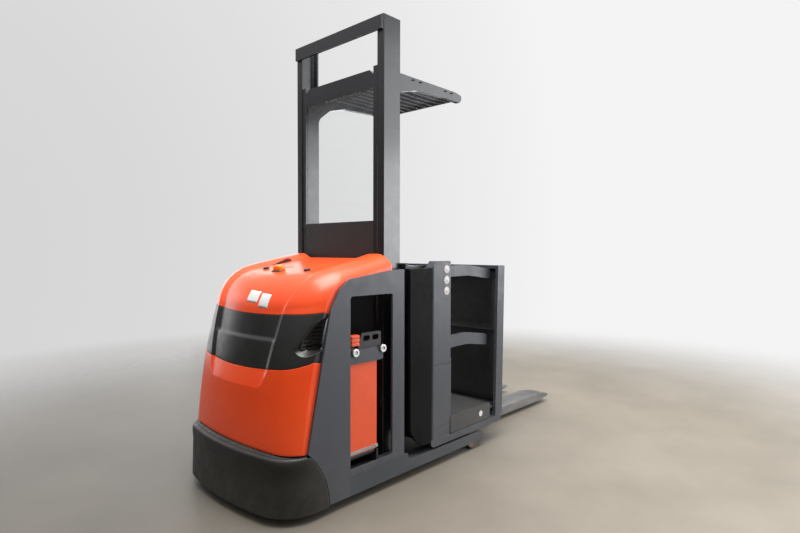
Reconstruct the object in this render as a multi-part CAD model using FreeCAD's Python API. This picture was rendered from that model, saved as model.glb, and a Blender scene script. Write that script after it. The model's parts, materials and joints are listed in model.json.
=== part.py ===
import FreeCAD, Part
import math
import os

from FreeCAD import Vector

# Order picker truck with a mast, a rising operator's cabin and forks behind it.
# Millimetres, +Z up. X runs from the power unit to the forks. While the pieces are made,
# x = 0 is the front face of the mast; save() then moves the origin under the middle.

os.makedirs("parts", exist_ok=True)

# Overall sizes
truck_half = 500.0        # half the width over the side panels
nose_x = -795.0           # foremost point of the bumper
fork_tip_x = 2145.0
sill_bottom = 50.0        # clearance of the chassis over the floor
sill_top = 155.0
seam = 0.8                # gap between moulded covers
fit_gap = 0.3             # gap at a seat between pieces of one body
move_gap = 5.0            # least gap between the lifting cabin and the chassis
mast_height = 2621.0

# Bumper
bumper_bottom = 40.0
bumper_top = 332.0
bumper_bevel_z = 316.0
bumper_wall = 12.0
bumper_bow = 1750.0
bumper_corner = 105.0
bumper_lean = 16.0        # how far the face leans back up to the bevel
bumper_bevel = 42.0       # how far the bevel then goes in
bumper_arc_x = -862.0     # centre and radius of the arc that ends the bumper on each side
bumper_arc_z = 40.0
bumper_arc_r = 393.0

# Hood
hood_bottom = bumper_top + 2.0
hood_nose = nose_x + bumper_lean + bumper_bevel
panel_skin = 14.2         # thickness of the side panels, outside the hood
hood_half = truck_half - panel_skin - seam
hood_bow_low = 2180.0     # plan radius of the front face at its foot
hood_bow_high = 904.0     # and where it turns into the lid
hood_corner_low = 168.0
hood_corner_high = 198.0
hood_spill = 20.0         # how far the rounded form would reach past its flat, creased sides
hood_wall = 6.0
hood_rear_x = -20.0
hood_lean = 0.0413        # lean of the front face, and how it grows with height
hood_curl = 0.00011
hood_turn_z = 998.0       # where the front face starts to turn into the lid
hood_round_front = 247.0
hood_round_side = 135.0
lid_slope = 0.2013        # slope of the lid, in radians
valley_foot_z = 615.0     # where the valley in the front face ends
valley_ramp = 95.0        # height over which its floor sinks in
ridge_z = 858.0           # foot of the ridge across the band
ridge_rise = 16.0
valley_depth_low = 13.0   # depth under the ridge, over it and at the hood's rear
valley_depth_high = 19.0
valley_depth_rear = 27.0
valley_foot_half = 222.0  # half width of its floor at its foot, at the turn, on the lid and at the rear
valley_turn_half = 280.0
valley_lid_half = 318.0
valley_rear_half = 228.0
valley_slope_front = 37.0   # width of its sloped sides
valley_slope_rear = 80.0
grip_x0 = -290.0          # hand hole beside the left shoulder of the lid
grip_x1 = -155.0
grip_y = 290.0
grip_width = 26.0
lamp_x = -386.0           # marker lamp in the valley
lamp_y = 35.0
lamp_z = 1236.0
lamp_length = 60.0
lamp_width = 76.0
band_low_x = -704.0       # the band's lower seam: a plane through this line, rising to the rear
band_low_z = 712.0
band_low_slope = 0.36
band_top_x = -650.0
band_top_z = 984.0
band_top_slope = 0.11
hood_lap = 26.0           # how far the hood reaches behind the side panel

# Side panels
panel_corner_x = -461.0   # where the front edge starts to curve over
panel_corner_z = 1013.0
panel_front_slope = 0.204
panel_rear_x = 97.0
panel_top_z = 1198.0
panel_foot_x = -336.0     # rear of the stretch that reaches down to the sill's underside
window_x0 = -334.0
window_x1 = -25.0
window_z0 = 181.0
window_z1 = 1071.0
window_r = 15.0
panel_return = 52.0       # depth of the rounded column at the panel's rear edge
panel_rear_round = 44.0

# Air intakes in the dark band
intake_height = 155.0
intake_top = band_top_z - 9.0
intake_low = intake_top - intake_height
intake_x0 = -592.0
intake_x1 = -500.0
intake_wall = 4.0
intake_deep_y = truck_half - 70.0
grille_plate = 3.0
grille_pitch = 19.0
grille_slot = 9.0

# Legs and load wheels
leg_top = 110.0
leg_end_x = 852.0
leg_width = 96.0
leg_plate = 10.0
load_wheel_x = 772.0
load_wheel_r = 75.0
load_wheel_width = 60.0
load_axle_r = 12.5
pocket_gap = 8.0
bearing_gap = 0.3

# Drive unit
drive_x = -562.0
drive_wheel_r = 125.0
drive_wheel_width = 100.0
drive_axle_r = 22.0
drive_plate_z = 292.0
drive_plate = 14.0
turntable_r = 132.0
motor_r = 98.0
motor_height = 300.0
steer_gap = 0.4

# Battery
battery_x0 = -393.0
battery_x1 = -109.0
battery_half = truck_half - 22.0
battery_bottom = 243.0
battery_height = 545.0
roller_r = 20.0
roller_count = 6
bed_rail = 9.0
bracket_z0 = 719.0
bracket_z1 = 790.0
bracket_plate = 6.0
bracket_x0 = window_x0 - 30.0
bracket_x1 = -86.0
battery_corner = 30.0
cover_inset = 14.0
cover_height = 22.0
lug_overhang = 16.0       # how far the lifting plate reaches past the tray
lug_length = 172.0
lug_height = 84.0
lug_plate = 8.0
lug_eye = 24.0
lock_r = 20.0
lock_bore = 8.0
lock_height = 10.0
lock_z = 777.0
lock_inset = 29.0         # from the bracket's rear end, and from the window's front edge

# Mast
mast_depth = 138.0
mast_outer = 400.0
mast_inner = 348.0
mast_web = 14.0
beam_plate = 15.0
beam_top_gap = 8.0        # beam's top edge under the uprights' ends
beam_height = 77.0
middle_beam_z = 1090.0
middle_beam_height = 70.0
lower_beam_z = 420.0
lower_beam_height = 100.0
mast_foot_z = 80.0

# Overhead guard, carried by the cabin
guard_x0 = move_gap
guard_x1 = 111.0
guard_out = mast_inner - move_gap
guard_plate = 30.0
guard_foot_z = 150.0
arm_top = 620.0           # top of the gusset that carries the platform on each post
roof_top = 2350.0
roof_low = 2290.0
roof_end_x = 795.0
roof_join_z = 2166.0
roof_knees = ((206.0, 2242.0, 60.0), (339.0, 2278.0, 200.0))   # corners under the roof's root
roof_flat_x = 608.0       # where the roof's underside becomes level
front_beam_z0 = 2227.0
front_beam_z1 = 2335.0
front_beam = 25.0
slat_count = 9
slat_width = 14.0
slat_height = 38.0
screen_z0 = 1475.0
screen_plate = 5.0
panel_plate = 8.0
roller_wheel_r = 54.0
roller_wheel_width = 26.0
roller_low_z = 260.0
roller_high_z = 900.0

# Lift cylinders
cylinder_y = 262.0
cylinder_x = 62.0
cylinder_r = 27.0
cylinder_bore = 20.5
rod_r = 20.0
cylinder_top = 1350.0
cylinder_foot = 95.0
crosshead_depth = 65.0
crosshead_height = 60.0
crosshead_gap = 14.0

# Cabin
cabin_bottom = 140.0
floor_z = 240.0
floor_plate = 12.0
mat = 8.0
housing_x0 = 145.0        # front of the housing in the middle, behind the mast
wing_x0 = 118.0           # front of its side wings, beside the mast
housing_x1 = 304.0        # rear of the housing, where the platform starts
housing_top = 1200.0
housing_wall = 8.0
rail_bottom = 125.0       # rail along the platform's foot, outside the load wheels
rail_top = 168.0
rail_plate = 10.0
rail_round = 30.0
post_x0 = 315.0
post_x1 = 490.0
post_depth = 55.0
post_bottom = rail_top + fit_gap
post_top = 1242.0
post_seam_z = 617.0
post_ledge_z = 229.0
post_groove = 3.0
return_x1 = 528.0         # inner face of the post, beside the entry
return_top = 652.0
wall_x0 = 1018.0
wall_x1 = 1098.0
wall_lean = 21.0          # how far the back wall's foot stands in front of its top
wall_top = 1203.0
wall_bottom = rail_top + fit_gap
wall_joint_z = 390.0
shank_top = 640.0         # top of the forks' upright shanks
step_z0 = 172.0
step_z1 = 272.0
step_x0 = 494.0
step_x1 = 928.0
step_plate = 18.0

# Forks
fork_out = 285.0
fork_width = 165.0
fork_bottom = 33.0
fork_top = 95.0

# Gates
gate_pivot_x = 462.0
gate_upper_z = 1172.0
gate_lower_z = 722.0
gate_upper_reach = 543.0
gate_lower_reach = 508.0
gate_upper_tall = 68.0
gate_lower_tall = 75.0
gate_upper_bow = 4.0
gate_lower_bow = 8.0
gate_bar = 26.0
gate_web = 5.0            # the bar is a trough, open towards the cabin
gate_lip = 7.0
gate_droop = 26.0
gate_pin_r = 11.0

# Console
desk_half = 438.0
desk_plate = 14.0
pod_half = 80.0
pod_height = 62.0
rim_height = 18.0
column_r = 30.0
column_pin_r = 9.0
steer_rise = 46.0
wheel_hub_r = 32.0
steer_wheel_r = 105.0
steer_rim_r = 13.0
steer_x = 235.0
steer_y = 215.0


def box(x0, x1, y0, y1, z0, z1):
    return Part.makeBox(x1 - x0, y1 - y0, z1 - z0, Vector(x0, y0, z0))


def cylinder(radius, start, direction, length):
    return Part.makeCylinder(radius, length, Vector(*start), Vector(*direction))


def tube(outer, bore, start, direction, length):
    return cylinder(outer, start, direction, length).cut(cylinder(bore, start, direction, length))


def place(plane, a, b, level):
    """Point of a plane outline: a and b are its two coordinates, level the third."""
    if plane == "xz":
        return Vector(a, level, b)
    if plane == "yz":
        return Vector(level, a, b)
    return Vector(a, b, level)


def outline(plane, corners, level):
    """Closed wire through corners (a, b) or (a, b, radius), rounded by tangent arcs."""
    turns = []
    count = len(corners)
    for index in range(count):
        corner = corners[index]
        here = place(plane, corner[0], corner[1], level)
        radius = corner[2] if len(corner) > 2 else 0.0
        if radius == 0.0:
            turns.append((here, None, here))
            continue
        before = corners[index - 1]
        after = corners[(index + 1) % count]
        back = (place(plane, before[0], before[1], level) - here).normalize()
        ahead = (place(plane, after[0], after[1], level) - here).normalize()
        half_angle = back.getAngle(ahead) / 2
        reach = radius / math.tan(half_angle)
        middle = (back + ahead).normalize()
        centre = here + middle * (radius / math.sin(half_angle))
        turns.append((here + back * reach, centre - middle * radius, here + ahead * reach))
    edges = []
    for index in range(count):
        start, middle, end = turns[index]
        if middle is not None:
            edges.append(Part.Arc(start, middle, end).toShape())
        following = turns[(index + 1) % count][0]
        if (following - end).Length > 1e-6:
            edges.append(Part.makeLine(end, following))
    return Part.Wire(edges)


def prism(plane, corners, low, high):
    """Solid of an outline, pushed from low to high along the axis that its plane lacks."""
    face = Part.Face(outline(plane, corners, low))
    push = {"xz": Vector(0, 1, 0), "yz": Vector(1, 0, 0), "xy": Vector(0, 0, 1)}[plane]
    return face.extrude(push * (high - low))


def fuse(shapes):
    joined = shapes[0].multiFuse(shapes[1:]).removeSplitter()
    return joined.Solids[0] if len(joined.Solids) == 1 else joined


def mirrored(shape):
    return shape.mirror(Vector(0, 0, 0), Vector(0, 1, 0))


def both(shape):
    """A piece on the right side (y below zero) and its mirror image on the left."""
    return [shape, mirrored(shape)]


def round_edges(shape, radius, wanted):
    """Fillet the edges whose middle point the test wanted accepts."""
    edges = []
    for edge in shape.Edges:
        middle = edge.valueAt((edge.FirstParameter + edge.LastParameter) / 2)
        if wanted(edge, middle):
            edges.append(edge)
    return shape.makeFillet(radius, edges)


def bevel_rims(shape, size):
    """Chamfer every circular edge."""
    return shape.makeChamfer(size, [edge for edge in shape.Edges if edge.Curve.TypeId == "Part::GeomCircle"])


def save(node, shapes):
    """Write one node, with the origin on the floor under the middle of the truck."""
    solids = []
    for shape in shapes:
        solids.extend(shape.Solids)
    whole = solids[0].copy() if len(solids) == 1 else Part.makeCompound(solids)
    whole.translate(Vector(-(nose_x + fork_tip_x) / 2, 0, 0))
    whole.exportStep("parts/" + node + ".step")


def nose_wire(z, nose, half, bow, corner, rear_x):
    """Plan outline with a bowed nose at height z: straight sides, corner arcs and the bow."""
    centre_x = nose + bow
    corner_y = half - corner
    corner_x = centre_x - math.sqrt((bow - corner) ** 2 - corner_y ** 2)
    reach = bow / (bow - corner)
    touch_x = centre_x + (corner_x - centre_x) * reach
    touch_y = corner_y * reach
    turn = (math.pi / 2 + math.atan2(corner_y, corner_x - centre_x)) / 2
    bend_x = corner_x + corner * math.cos(turn)
    bend_y = corner_y + corner * math.sin(turn)
    plan = ((rear_x, half), (corner_x, half), (bend_x, bend_y), (touch_x, touch_y))
    left = [Vector(x, y, z) for x, y in plan]
    right = [Vector(point.x, -point.y, z) for point in left]
    return Part.Wire([
        Part.makeLine(left[0], left[1]),
        Part.Arc(left[1], left[2], left[3]).toShape(),
        Part.Arc(left[3], Vector(nose, 0, z), right[3]).toShape(),
        Part.Arc(right[3], right[2], right[1]).toShape(),
        Part.makeLine(right[1], right[0]),
        Part.makeLine(right[0], left[0]),
    ])


def bumper_form(inset):
    """The bumper's outer form, or with an inset the hollow behind its wall."""
    levels = (
        (bumper_bottom - inset, nose_x),
        (bumper_bevel_z, nose_x + bumper_lean),
        (bumper_top + inset, nose_x + bumper_lean + bumper_bevel),
    )
    rear_x = bumper_arc_x + bumper_arc_r + 10.0
    wires = []
    for z, nose in levels:
        shrink = nose - nose_x + inset
        half = truck_half - (0.0 if z < bumper_bevel_z else bumper_bevel / 3) - inset
        wires.append(nose_wire(z, nose_x + shrink, half, bumper_bow - inset, bumper_corner - inset, rear_x))
    return Part.makeLoft(wires, True, True)


def build_bumper():
    wall = bumper_form(0.0).cut(bumper_form(bumper_wall))
    start = (bumper_arc_x, -truck_half - 1, bumper_arc_z)
    ends = cylinder(bumper_arc_r, start, (0, 1, 0), 2 * truck_half + 2)
    return wall.common(ends)


def hood_nose_at(z):
    height = z - hood_bottom
    return hood_nose + hood_lean * height + hood_curl * height ** 2


def hood_line():
    """Middle line of the hood: the leaning face, an arc tangent to it, and the lid tangent to the arc."""
    lean = math.atan(hood_lean + 2 * hood_curl * (hood_turn_z - hood_bottom))
    front = hood_nose_at(hood_turn_z)
    centre_x = front + hood_round_front * math.cos(lean)
    centre_z = hood_turn_z - hood_round_front * math.sin(lean)
    end_x = centre_x - hood_round_front * math.sin(lid_slope)
    end_z = centre_z + hood_round_front * math.cos(lid_slope)
    rear_z = end_z + math.tan(lid_slope) * (hood_rear_x - end_x)
    return {"lean": lean, "front": front, "centre_x": centre_x, "centre_z": centre_z,
            "end_x": end_x, "end_z": end_z, "rear_z": rear_z}


def sheared(wire, slope, x):
    """The flat wire tilted about the line at x, its plan view unchanged."""
    matrix = FreeCAD.Matrix()
    matrix.A31 = slope
    matrix.A34 = -slope * x
    return wire.transformGeometry(matrix)


def hood_form(inset):
    """Outer form of the hood lofted through tilted plan sections, or the same form set in all round."""
    line = hood_line()
    rear = hood_rear_x + (20.0 if inset > 0 else 0.0)
    side = hood_half + hood_spill - inset
    front = line["front"]
    side_turn_z = line["rear_z"] - hood_round_side
    top_slope = (side_turn_z - hood_turn_z) / (hood_rear_x - front)
    wires = []
    for share in (0.0, 0.5, 1.0):
        z = hood_bottom + (hood_turn_z - hood_bottom) * share
        nose = hood_nose_at(z) + inset
        bow = hood_bow_low + (hood_bow_high - hood_bow_low) * share - inset
        corner = hood_corner_low + (hood_corner_high - hood_corner_low) * share - inset
        low = z - inset if share == 0.0 else z
        wire = nose_wire(low, nose, side, bow, corner, rear)
        wires.append(sheared(wire, top_slope * share ** 3, nose))
    round_front = hood_round_front - inset
    round_side = hood_round_side - inset
    for share in (1 / 3, 2 / 3, 1.0):
        turn = line["lean"] + (math.pi / 2 - lid_slope - line["lean"]) * share
        side_turn = math.pi / 2 * share
        nose = line["centre_x"] - round_front * math.cos(turn)
        low = line["centre_z"] + round_front * math.sin(turn)
        high = side_turn_z + round_side * math.sin(side_turn)
        sink = round_side * (1 - math.cos(side_turn))
        bow = hood_bow_high - inset - (nose - front - inset)
        corner = hood_corner_high - inset - sink
        wire = nose_wire(low, nose, side - sink, bow, corner, rear)
        wires.append(sheared(wire, (high - low) / (hood_rear_x - nose), nose))
    half = hood_half - inset
    form = Part.makeLoft(wires, True, True)
    return form.common(box(hood_nose - 50, rear, -half, half, 0, line["rear_z"] + 10))


def valley_section(spot, normal, depth, floor_half, lip_half, bow, grow):
    """Section of the valley tool across the hood at a point of its middle line."""
    slope = 1 / (2 * bow)

    def at(y, height):
        return Vector(spot[0] + normal[0] * height, y, spot[1] + normal[1] * height)

    floor_z = -depth - grow - slope * floor_half ** 2
    lip_z = -slope * lip_half ** 2
    run = lip_half - floor_half
    tilt = (lip_z - floor_z - grow) / run
    out = 1.9
    side_y = floor_half + grow * tilt + run * out
    side_z = floor_z + tilt * run * out
    sky = 160.0
    left, right = at(floor_half + grow * tilt, floor_z), at(-floor_half - grow * tilt, floor_z)
    wall_left, wall_right = at(side_y, side_z), at(-side_y, side_z)
    return Part.Wire([
        Part.Arc(right, at(0, -depth - grow), left).toShape(),
        Part.makeLine(left, wall_left),
        Part.makeLine(wall_left, at(side_y, sky)),
        Part.makeLine(at(side_y, sky), at(-side_y, sky)),
        Part.makeLine(at(-side_y, sky), wall_right),
        Part.makeLine(wall_right, right),
    ])


def valley(grow):
    """Tool that sinks the valley with sloped sides into the front face and the lid."""
    wires = []
    line = hood_line()
    spread = (valley_turn_half - valley_foot_half) / (hood_turn_z - valley_foot_z)
    levels = [(valley_foot_z, -8.0)]
    if grow == 0:
        levels += [(valley_foot_z + valley_ramp, valley_depth_low), (ridge_z, valley_depth_low)]
        levels += [(ridge_z + ridge_rise, valley_depth_high)]
    else:
        levels += [(valley_foot_z + valley_ramp, valley_depth_high)]
    levels += [(hood_turn_z, valley_depth_high)]
    for z, depth in levels:
        share = (z - hood_bottom) / (hood_turn_z - hood_bottom)
        lean = hood_lean + 2 * hood_curl * (z - hood_bottom)
        size = math.hypot(1, lean)
        bow = hood_bow_low + (hood_bow_high - hood_bow_low) * share
        half = valley_foot_half + spread * (z - valley_foot_z)
        wires.append(valley_section((hood_nose_at(z), z), (-1 / size, lean / size), depth, half,
                                    half + valley_slope_front, bow, grow))
    middle_slope = (valley_slope_front + valley_slope_rear) / 2
    turn = (line["lean"] + math.pi / 2 - lid_slope) / 2
    normal = (-math.cos(turn), math.sin(turn))
    spot = (line["centre_x"] + hood_round_front * normal[0], line["centre_z"] + hood_round_front * normal[1])
    wires.append(valley_section(spot, normal, valley_depth_high, valley_lid_half,
                                valley_lid_half + middle_slope, 2.2 * hood_bow_high, grow))
    rise = line["rear_z"] - line["end_z"]
    run = hood_rear_x - line["end_x"]
    normal = (-math.sin(lid_slope), math.cos(lid_slope))
    for share, depth in ((0.1, valley_depth_high), (1.1, valley_depth_rear)):
        spot = (line["end_x"] + run * share, line["end_z"] + rise * share)
        half = valley_lid_half + (valley_rear_half - valley_lid_half) * share
        wires.append(valley_section(spot, normal, depth, half,
                                    half + valley_slope_rear, 30 * hood_bow_high, grow))
    return Part.makeLoft(wires, True, True)


def recessed(inset):
    """The hood's form with the valley sunk into it, set in by a wall where inset is given."""
    return hood_form(inset).cut(valley(inset))


def below(x, z, slope, shift):
    """Everything under a seam plane that passes through the line (x, z) and rises to the rear."""
    x0, x1 = 1.2 * nose_x, -hood_rear_x
    reach = 1.2 * truck_half
    return prism("xz", [
        (x0, 0), (x1, 0), (x1, z + slope * (x1 - x) + shift), (x0, z + slope * (x0 - x) + shift),
    ], -reach, reach)


def intake_outline(grow):
    """Outline of the air intake beside the panel's front edge, in the XZ plane."""
    return [
        (panel_front_at(intake_top) + 20, intake_top + grow), (intake_x1, intake_top - 18 + grow, 18),
        (intake_x0 + 26 - grow, intake_low + 68, 60), (intake_x0 - grow, intake_low + 12, 16),
        (intake_x0 + 24, intake_low - grow, 14), (panel_front_at(intake_low) + 20, intake_low - grow),
    ]


def intake_tunnel(shell):
    """The shell with a short walled tunnel behind each air intake."""
    outer = hood_form(hood_wall / 2)
    for side in (-1, 1):
        far, deep = side * truck_half, side * intake_deep_y
        low, high = sorted((far, deep))
        collar = prism("xz", intake_outline(intake_wall), low, high).common(outer)
        low, high = sorted((far * 1.1, deep - side * 10))
        shell = shell.fuse(collar).cut(prism("xz", intake_outline(0.0), low, high))
    return shell


def intake_grilles():
    """Louvred plates at the inner end of the two intakes."""
    y0 = -intake_deep_y + fit_gap
    plate = prism("xz", intake_outline(intake_wall), y0, y0 + grille_plate)
    slots = []
    count = int((intake_height - grille_pitch) / grille_pitch)
    for index in range(count):
        z = intake_low + 12 + index * grille_pitch
        x1 = panel_front_at(z) + 50
        slots.append(box(intake_x0 + 8, x1, y0 - 1, y0 + grille_plate + 1, z, z + grille_slot))
    frame = prism("xz", intake_outline(-3.0), y0 - 2, y0 + grille_plate + 2)
    return plate.cut(fuse(slots).common(frame)).common(hood_form(hood_wall + fit_gap))


def hood_covers():
    """The hood's three mouldings: lower cover, dark band with its intakes, and upper cover."""
    shell = recessed(0.0).cut(recessed(hood_wall))
    reach = 1.2 * truck_half
    behind = prism("xz", panel_outline(-hood_lap, panel_foot_x), -reach, reach)
    trim = behind.fuse(box(1.2 * nose_x, -hood_rear_x, -reach, reach, 0, hood_bottom))
    half = seam / 2
    band = shell.common(below(band_top_x, band_top_z, band_top_slope, -half))
    band = band.cut(below(band_low_x, band_low_z, band_low_slope, half))
    lid = shell.cut(below(band_top_x, band_top_z, band_top_slope, half))
    grip = prism("xy", [
        (grip_x0, grip_y - grip_width, 10), (grip_x1, grip_y, 10), (grip_x1, grip_y + grip_width, 10),
        (grip_x0, grip_y, 10),
    ], hood_turn_z, hood_line()["rear_z"] + 50)
    return {
        "hood_lower": shell.common(below(band_low_x, band_low_z, band_low_slope, -half)).cut(trim),
        "hood_band": intake_tunnel(band).cut(trim),
        "hood_upper": lid.cut(grip).cut(trim),
    }


def panel_front_at(z):
    """The side panel's front edge at height z."""
    return panel_corner_x - panel_front_slope * (panel_corner_z - z)


def panel_outline(grow, foot):
    """Side panel's outline in the XZ plane, with its front and top edge moved out by grow."""
    top = panel_top_z + grow
    return [
        (panel_front_at(sill_bottom) - grow, sill_bottom),
        (panel_corner_x - grow, panel_corner_z, 60.0),
        (panel_corner_x + 57.0 - grow, top - 90.0 - grow / 2, 60.0),
        (panel_corner_x + 123.0 - grow / 2, top - 38.0, 60.0),
        (panel_corner_x + 299.0, top - 18.0, 300.0),
        (hood_rear_x, top, 300.0),
        (panel_rear_x, panel_top_z + grow),
        (panel_rear_x, sill_top + seam),
        (foot, sill_top + seam),
        (foot, sill_bottom),
    ]


def bumper_end(gap):
    """Round tool that leaves room for the bumper's end."""
    return cylinder(bumper_arc_r + gap, (bumper_arc_x, -truck_half - 5, bumper_arc_z), (0, 1, 0),
                    2 * truck_half + 10)


def build_side_panel():
    face = -truck_half
    skin = prism("xz", panel_outline(0.0, panel_foot_x), face, face + panel_skin)
    window = prism("xz", [
        (window_x0, window_z0, window_r), (window_x1, window_z0, window_r),
        (window_x1, window_z1, window_r), (window_x0, window_z1, window_r),
    ], face - 5, face + panel_skin + 5)
    skin = skin.cut(window).cut(bumper_end(seam * 3))
    column = box(panel_rear_x - panel_return, panel_rear_x, face + panel_skin - 1, face + panel_return,
                 sill_top + seam, panel_top_z)
    panel = fuse([skin, column])
    return round_edges(panel, panel_rear_round, lambda edge, middle: abs(middle.x - panel_rear_x) < 0.1
                       and abs(middle.y - face) < 0.1 and edge.BoundBox.ZLength > 500)


def build_frame():
    """Sills, legs, the plates that join them and the plate that carries the drive unit."""
    inner = truck_half - leg_width
    deck_x0 = battery_x0 - 30.0
    deck = box(deck_x0, mast_depth, -inner - 1, inner + 1, mast_foot_z - 12, mast_foot_z)
    cross = box(mast_depth, mast_depth + 20, -inner - 1, inner + 1, sill_bottom + 5, leg_top - 4)
    shapes = [deck, cross]
    for side in (-1, 1):
        low, high = sorted((side * inner, side * truck_half))
        sill = prism("xz", [
            (panel_foot_x + seam, sill_bottom), (leg_end_x - 14, sill_bottom), (leg_end_x, sill_bottom + 20),
            (leg_end_x - 6, leg_top - 14, 10), (leg_end_x - 60, leg_top), (panel_rear_x + 20, leg_top),
            (panel_rear_x, sill_top, 8), (panel_foot_x + seam, sill_top),
        ], low, high)
        wheel_low, wheel_high = sorted((side * (inner + leg_plate), side * (truck_half - leg_plate)))
        room = load_wheel_r + pocket_gap
        pocket = box(load_wheel_x - room, leg_end_x + 10, wheel_low, wheel_high, 0, 200)
        shapes.append(sill.cut(pocket))
        rail_low, rail_high = sorted((side * inner, side * (truck_half - 34)))
        rail = box(-640, panel_foot_x + 3, rail_low, rail_high, sill_bottom + 20, sill_top)
        shapes.append(rail)
        shapes.append(box(-640, deck_x0 + 20, rail_low, rail_high, sill_top - 1, drive_plate_z))
        shapes.append(box(deck_x0, deck_x0 + 20, rail_low, rail_high, sill_top - 1, 700))
    bridge = bumper_form(bumper_wall + fit_gap).common(
        box(nose_x, deck_x0 + 20, -truck_half, truck_half, drive_plate_z - drive_plate, drive_plate_z))
    hole = cylinder(turntable_r + steer_gap, (drive_x, 0, 0), (0, 0, 1), 2 * drive_plate_z)
    shapes.append(bridge)
    bulkhead = box(deck_x0, deck_x0 + 12, -inner - 1, inner + 1, mast_foot_z - 12, 700)
    shapes.append(bulkhead)
    above = box(1.2 * nose_x, 0, -truck_half, truck_half, sill_top, 2 * drive_plate_z)
    frame = fuse(shapes).cut(hole.common(above))
    reach = truck_half + 10
    return frame.cut(bumper_end(seam * 3).common(box(1.2 * nose_x, 0, -reach, reach, 0, sill_top)))


def load_axle():
    outer = truck_half - 1.0
    return cylinder(load_axle_r, (load_wheel_x, -outer, load_wheel_r), (0, 1, 0), leg_width - 2.0)


def load_wheel():
    middle = truck_half - leg_width / 2
    start = -middle - load_wheel_width / 2
    tyre = cylinder(load_wheel_r, (load_wheel_x, start, load_wheel_r), (0, 1, 0), load_wheel_width)
    tyre = bevel_rims(tyre, 5.0)
    start = (load_wheel_x, start - 5, load_wheel_r)
    return tyre.cut(cylinder(load_axle_r + bearing_gap, start, (0, 1, 0), load_wheel_width + 10))


def drive_parts():
    """Steered drive unit: turntable, fork with its axle, motor on top, and the wheel."""
    centre = (drive_x, 0)
    disc_z = drive_plate_z - drive_plate
    ring = cylinder(turntable_r, (*centre, disc_z), (0, 0, 1), drive_plate)
    cheek_in = drive_wheel_width / 2 + 4.0
    cheek = prism("xz", [
        (drive_x - 90, disc_z + 1), (drive_x + 90, disc_z + 1), (drive_x + 45, drive_wheel_r - 45, 40),
        (drive_x - 45, drive_wheel_r - 45, 40),
    ], cheek_in, cheek_in + 26)
    motor = cylinder(motor_r, (*centre, disc_z + drive_plate - 1), (0, 0, 1), motor_height)
    cap = cylinder(motor_r - 14, (*centre, disc_z + drive_plate + motor_height - 2), (0, 0, 1), 40)
    axle = cylinder(drive_axle_r, (drive_x, -cheek_in, drive_wheel_r), (0, 1, 0), cheek_in + cheek_in + 20)
    unit = fuse([ring, cheek, motor, cap, axle])
    start = -drive_wheel_width / 2
    wheel = cylinder(drive_wheel_r, (drive_x, start, drive_wheel_r), (0, 1, 0), drive_wheel_width)
    wheel = bevel_rims(wheel, 8.0)
    wheel = wheel.cut(cylinder(drive_axle_r + bearing_gap, (drive_x, start - 5, drive_wheel_r), (0, 1, 0),
                               drive_wheel_width + 10))
    return unit, wheel


def build_battery():
    top = battery_bottom + battery_height
    tray = box(battery_x0, battery_x1, -battery_half, battery_half, battery_bottom, top)
    return round_edges(tray, battery_corner, lambda edge, middle: edge.BoundBox.ZLength > battery_height / 2)


def battery_cover():
    """Raised cover over the cells, set in from the tray's rim."""
    top = battery_bottom + battery_height
    x0, x1 = battery_x0 + cover_inset, battery_x1 - cover_inset
    half = battery_half - cover_inset
    high = top + cover_height
    cover = box(x0, x1, -half, half, top, high)
    return cover.makeChamfer(8.0, [edge for edge in cover.Edges if edge.BoundBox.ZMin > high - 0.1])


def battery_lug():
    """Upright lifting plate on the tray's end, with two eyes."""
    top = battery_bottom + battery_height
    y0 = -battery_half + 2.0
    x1 = battery_x1 + lug_overhang
    x0 = x1 - lug_length
    high = top + lug_height
    plate = prism("xz", [
        (x0, top + fit_gap), (x1, top + fit_gap), (x1, high, 12), (x0 + 32, high, 8),
    ], y0, y0 + lug_plate)
    for x in (x0 + lug_length * 0.38, x1 - lug_length * 0.24):
        plate = plate.cut(prism("xz", [
            (x - lug_eye, high - 44, 12), (x + lug_eye, high - 44, 12), (x + lug_eye, high - 15, 12),
            (x - lug_eye, high - 15, 12),
        ], y0 - 1, y0 + lug_plate + 1))
    return plate


def battery_lock(x):
    """Ring knob with a thumb tab, fused to the bracket that holds the battery."""
    y = -truck_half + panel_skin + fit_gap
    ring = tube(lock_r, lock_bore, (x, y - lock_height, lock_z), (0, 1, 0), lock_height + 1)
    stem = cylinder(lock_bore + 1, (x, y - lock_height + 4, lock_z), (0, 1, 0), lock_height - 3)
    tab = box(x - lock_r - 9, x - lock_r + 3, y - lock_height, y - lock_height + 6, lock_z + 2, lock_z + 14)
    return fuse([ring, stem, tab])


def build_rollers():
    """Rollers across the compartment on which the battery is drawn out sideways."""
    rollers = []
    length = battery_x1 - battery_x0 - 2 * (bed_rail - 1)
    for index in range(roller_count):
        y = -truck_half + 60 + index * (2 * truck_half - 120) / (roller_count - 1)
        start = (battery_x0 + bed_rail - 1, y, battery_bottom - roller_r)
        rollers.append(cylinder(roller_r, start, (1, 0, 0), length))
    return rollers


def roller_bed():
    """Two rails that hold the rollers' ends, standing on the deck."""
    inner = truck_half - leg_width - 1
    outer = truck_half - 30
    rails = []
    for x in (battery_x0, battery_x1 - bed_rail):
        low = box(x, x + bed_rail, -inner, inner, mast_foot_z, sill_top + 2)
        high = box(x, x + bed_rail, -outer, outer, sill_top + 1, battery_bottom - 12)
        rails.append(fuse([low, high]))
    return rails


def build_bracket():
    y0 = -truck_half + panel_skin + fit_gap
    plate = box(bracket_x0, bracket_x1, y0, y0 + bracket_plate, bracket_z0, bracket_z1)
    return round_edges(plate, 10.0, lambda edge, middle: edge.BoundBox.YLength > 1
                       and edge.BoundBox.XLength < 1)


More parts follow.
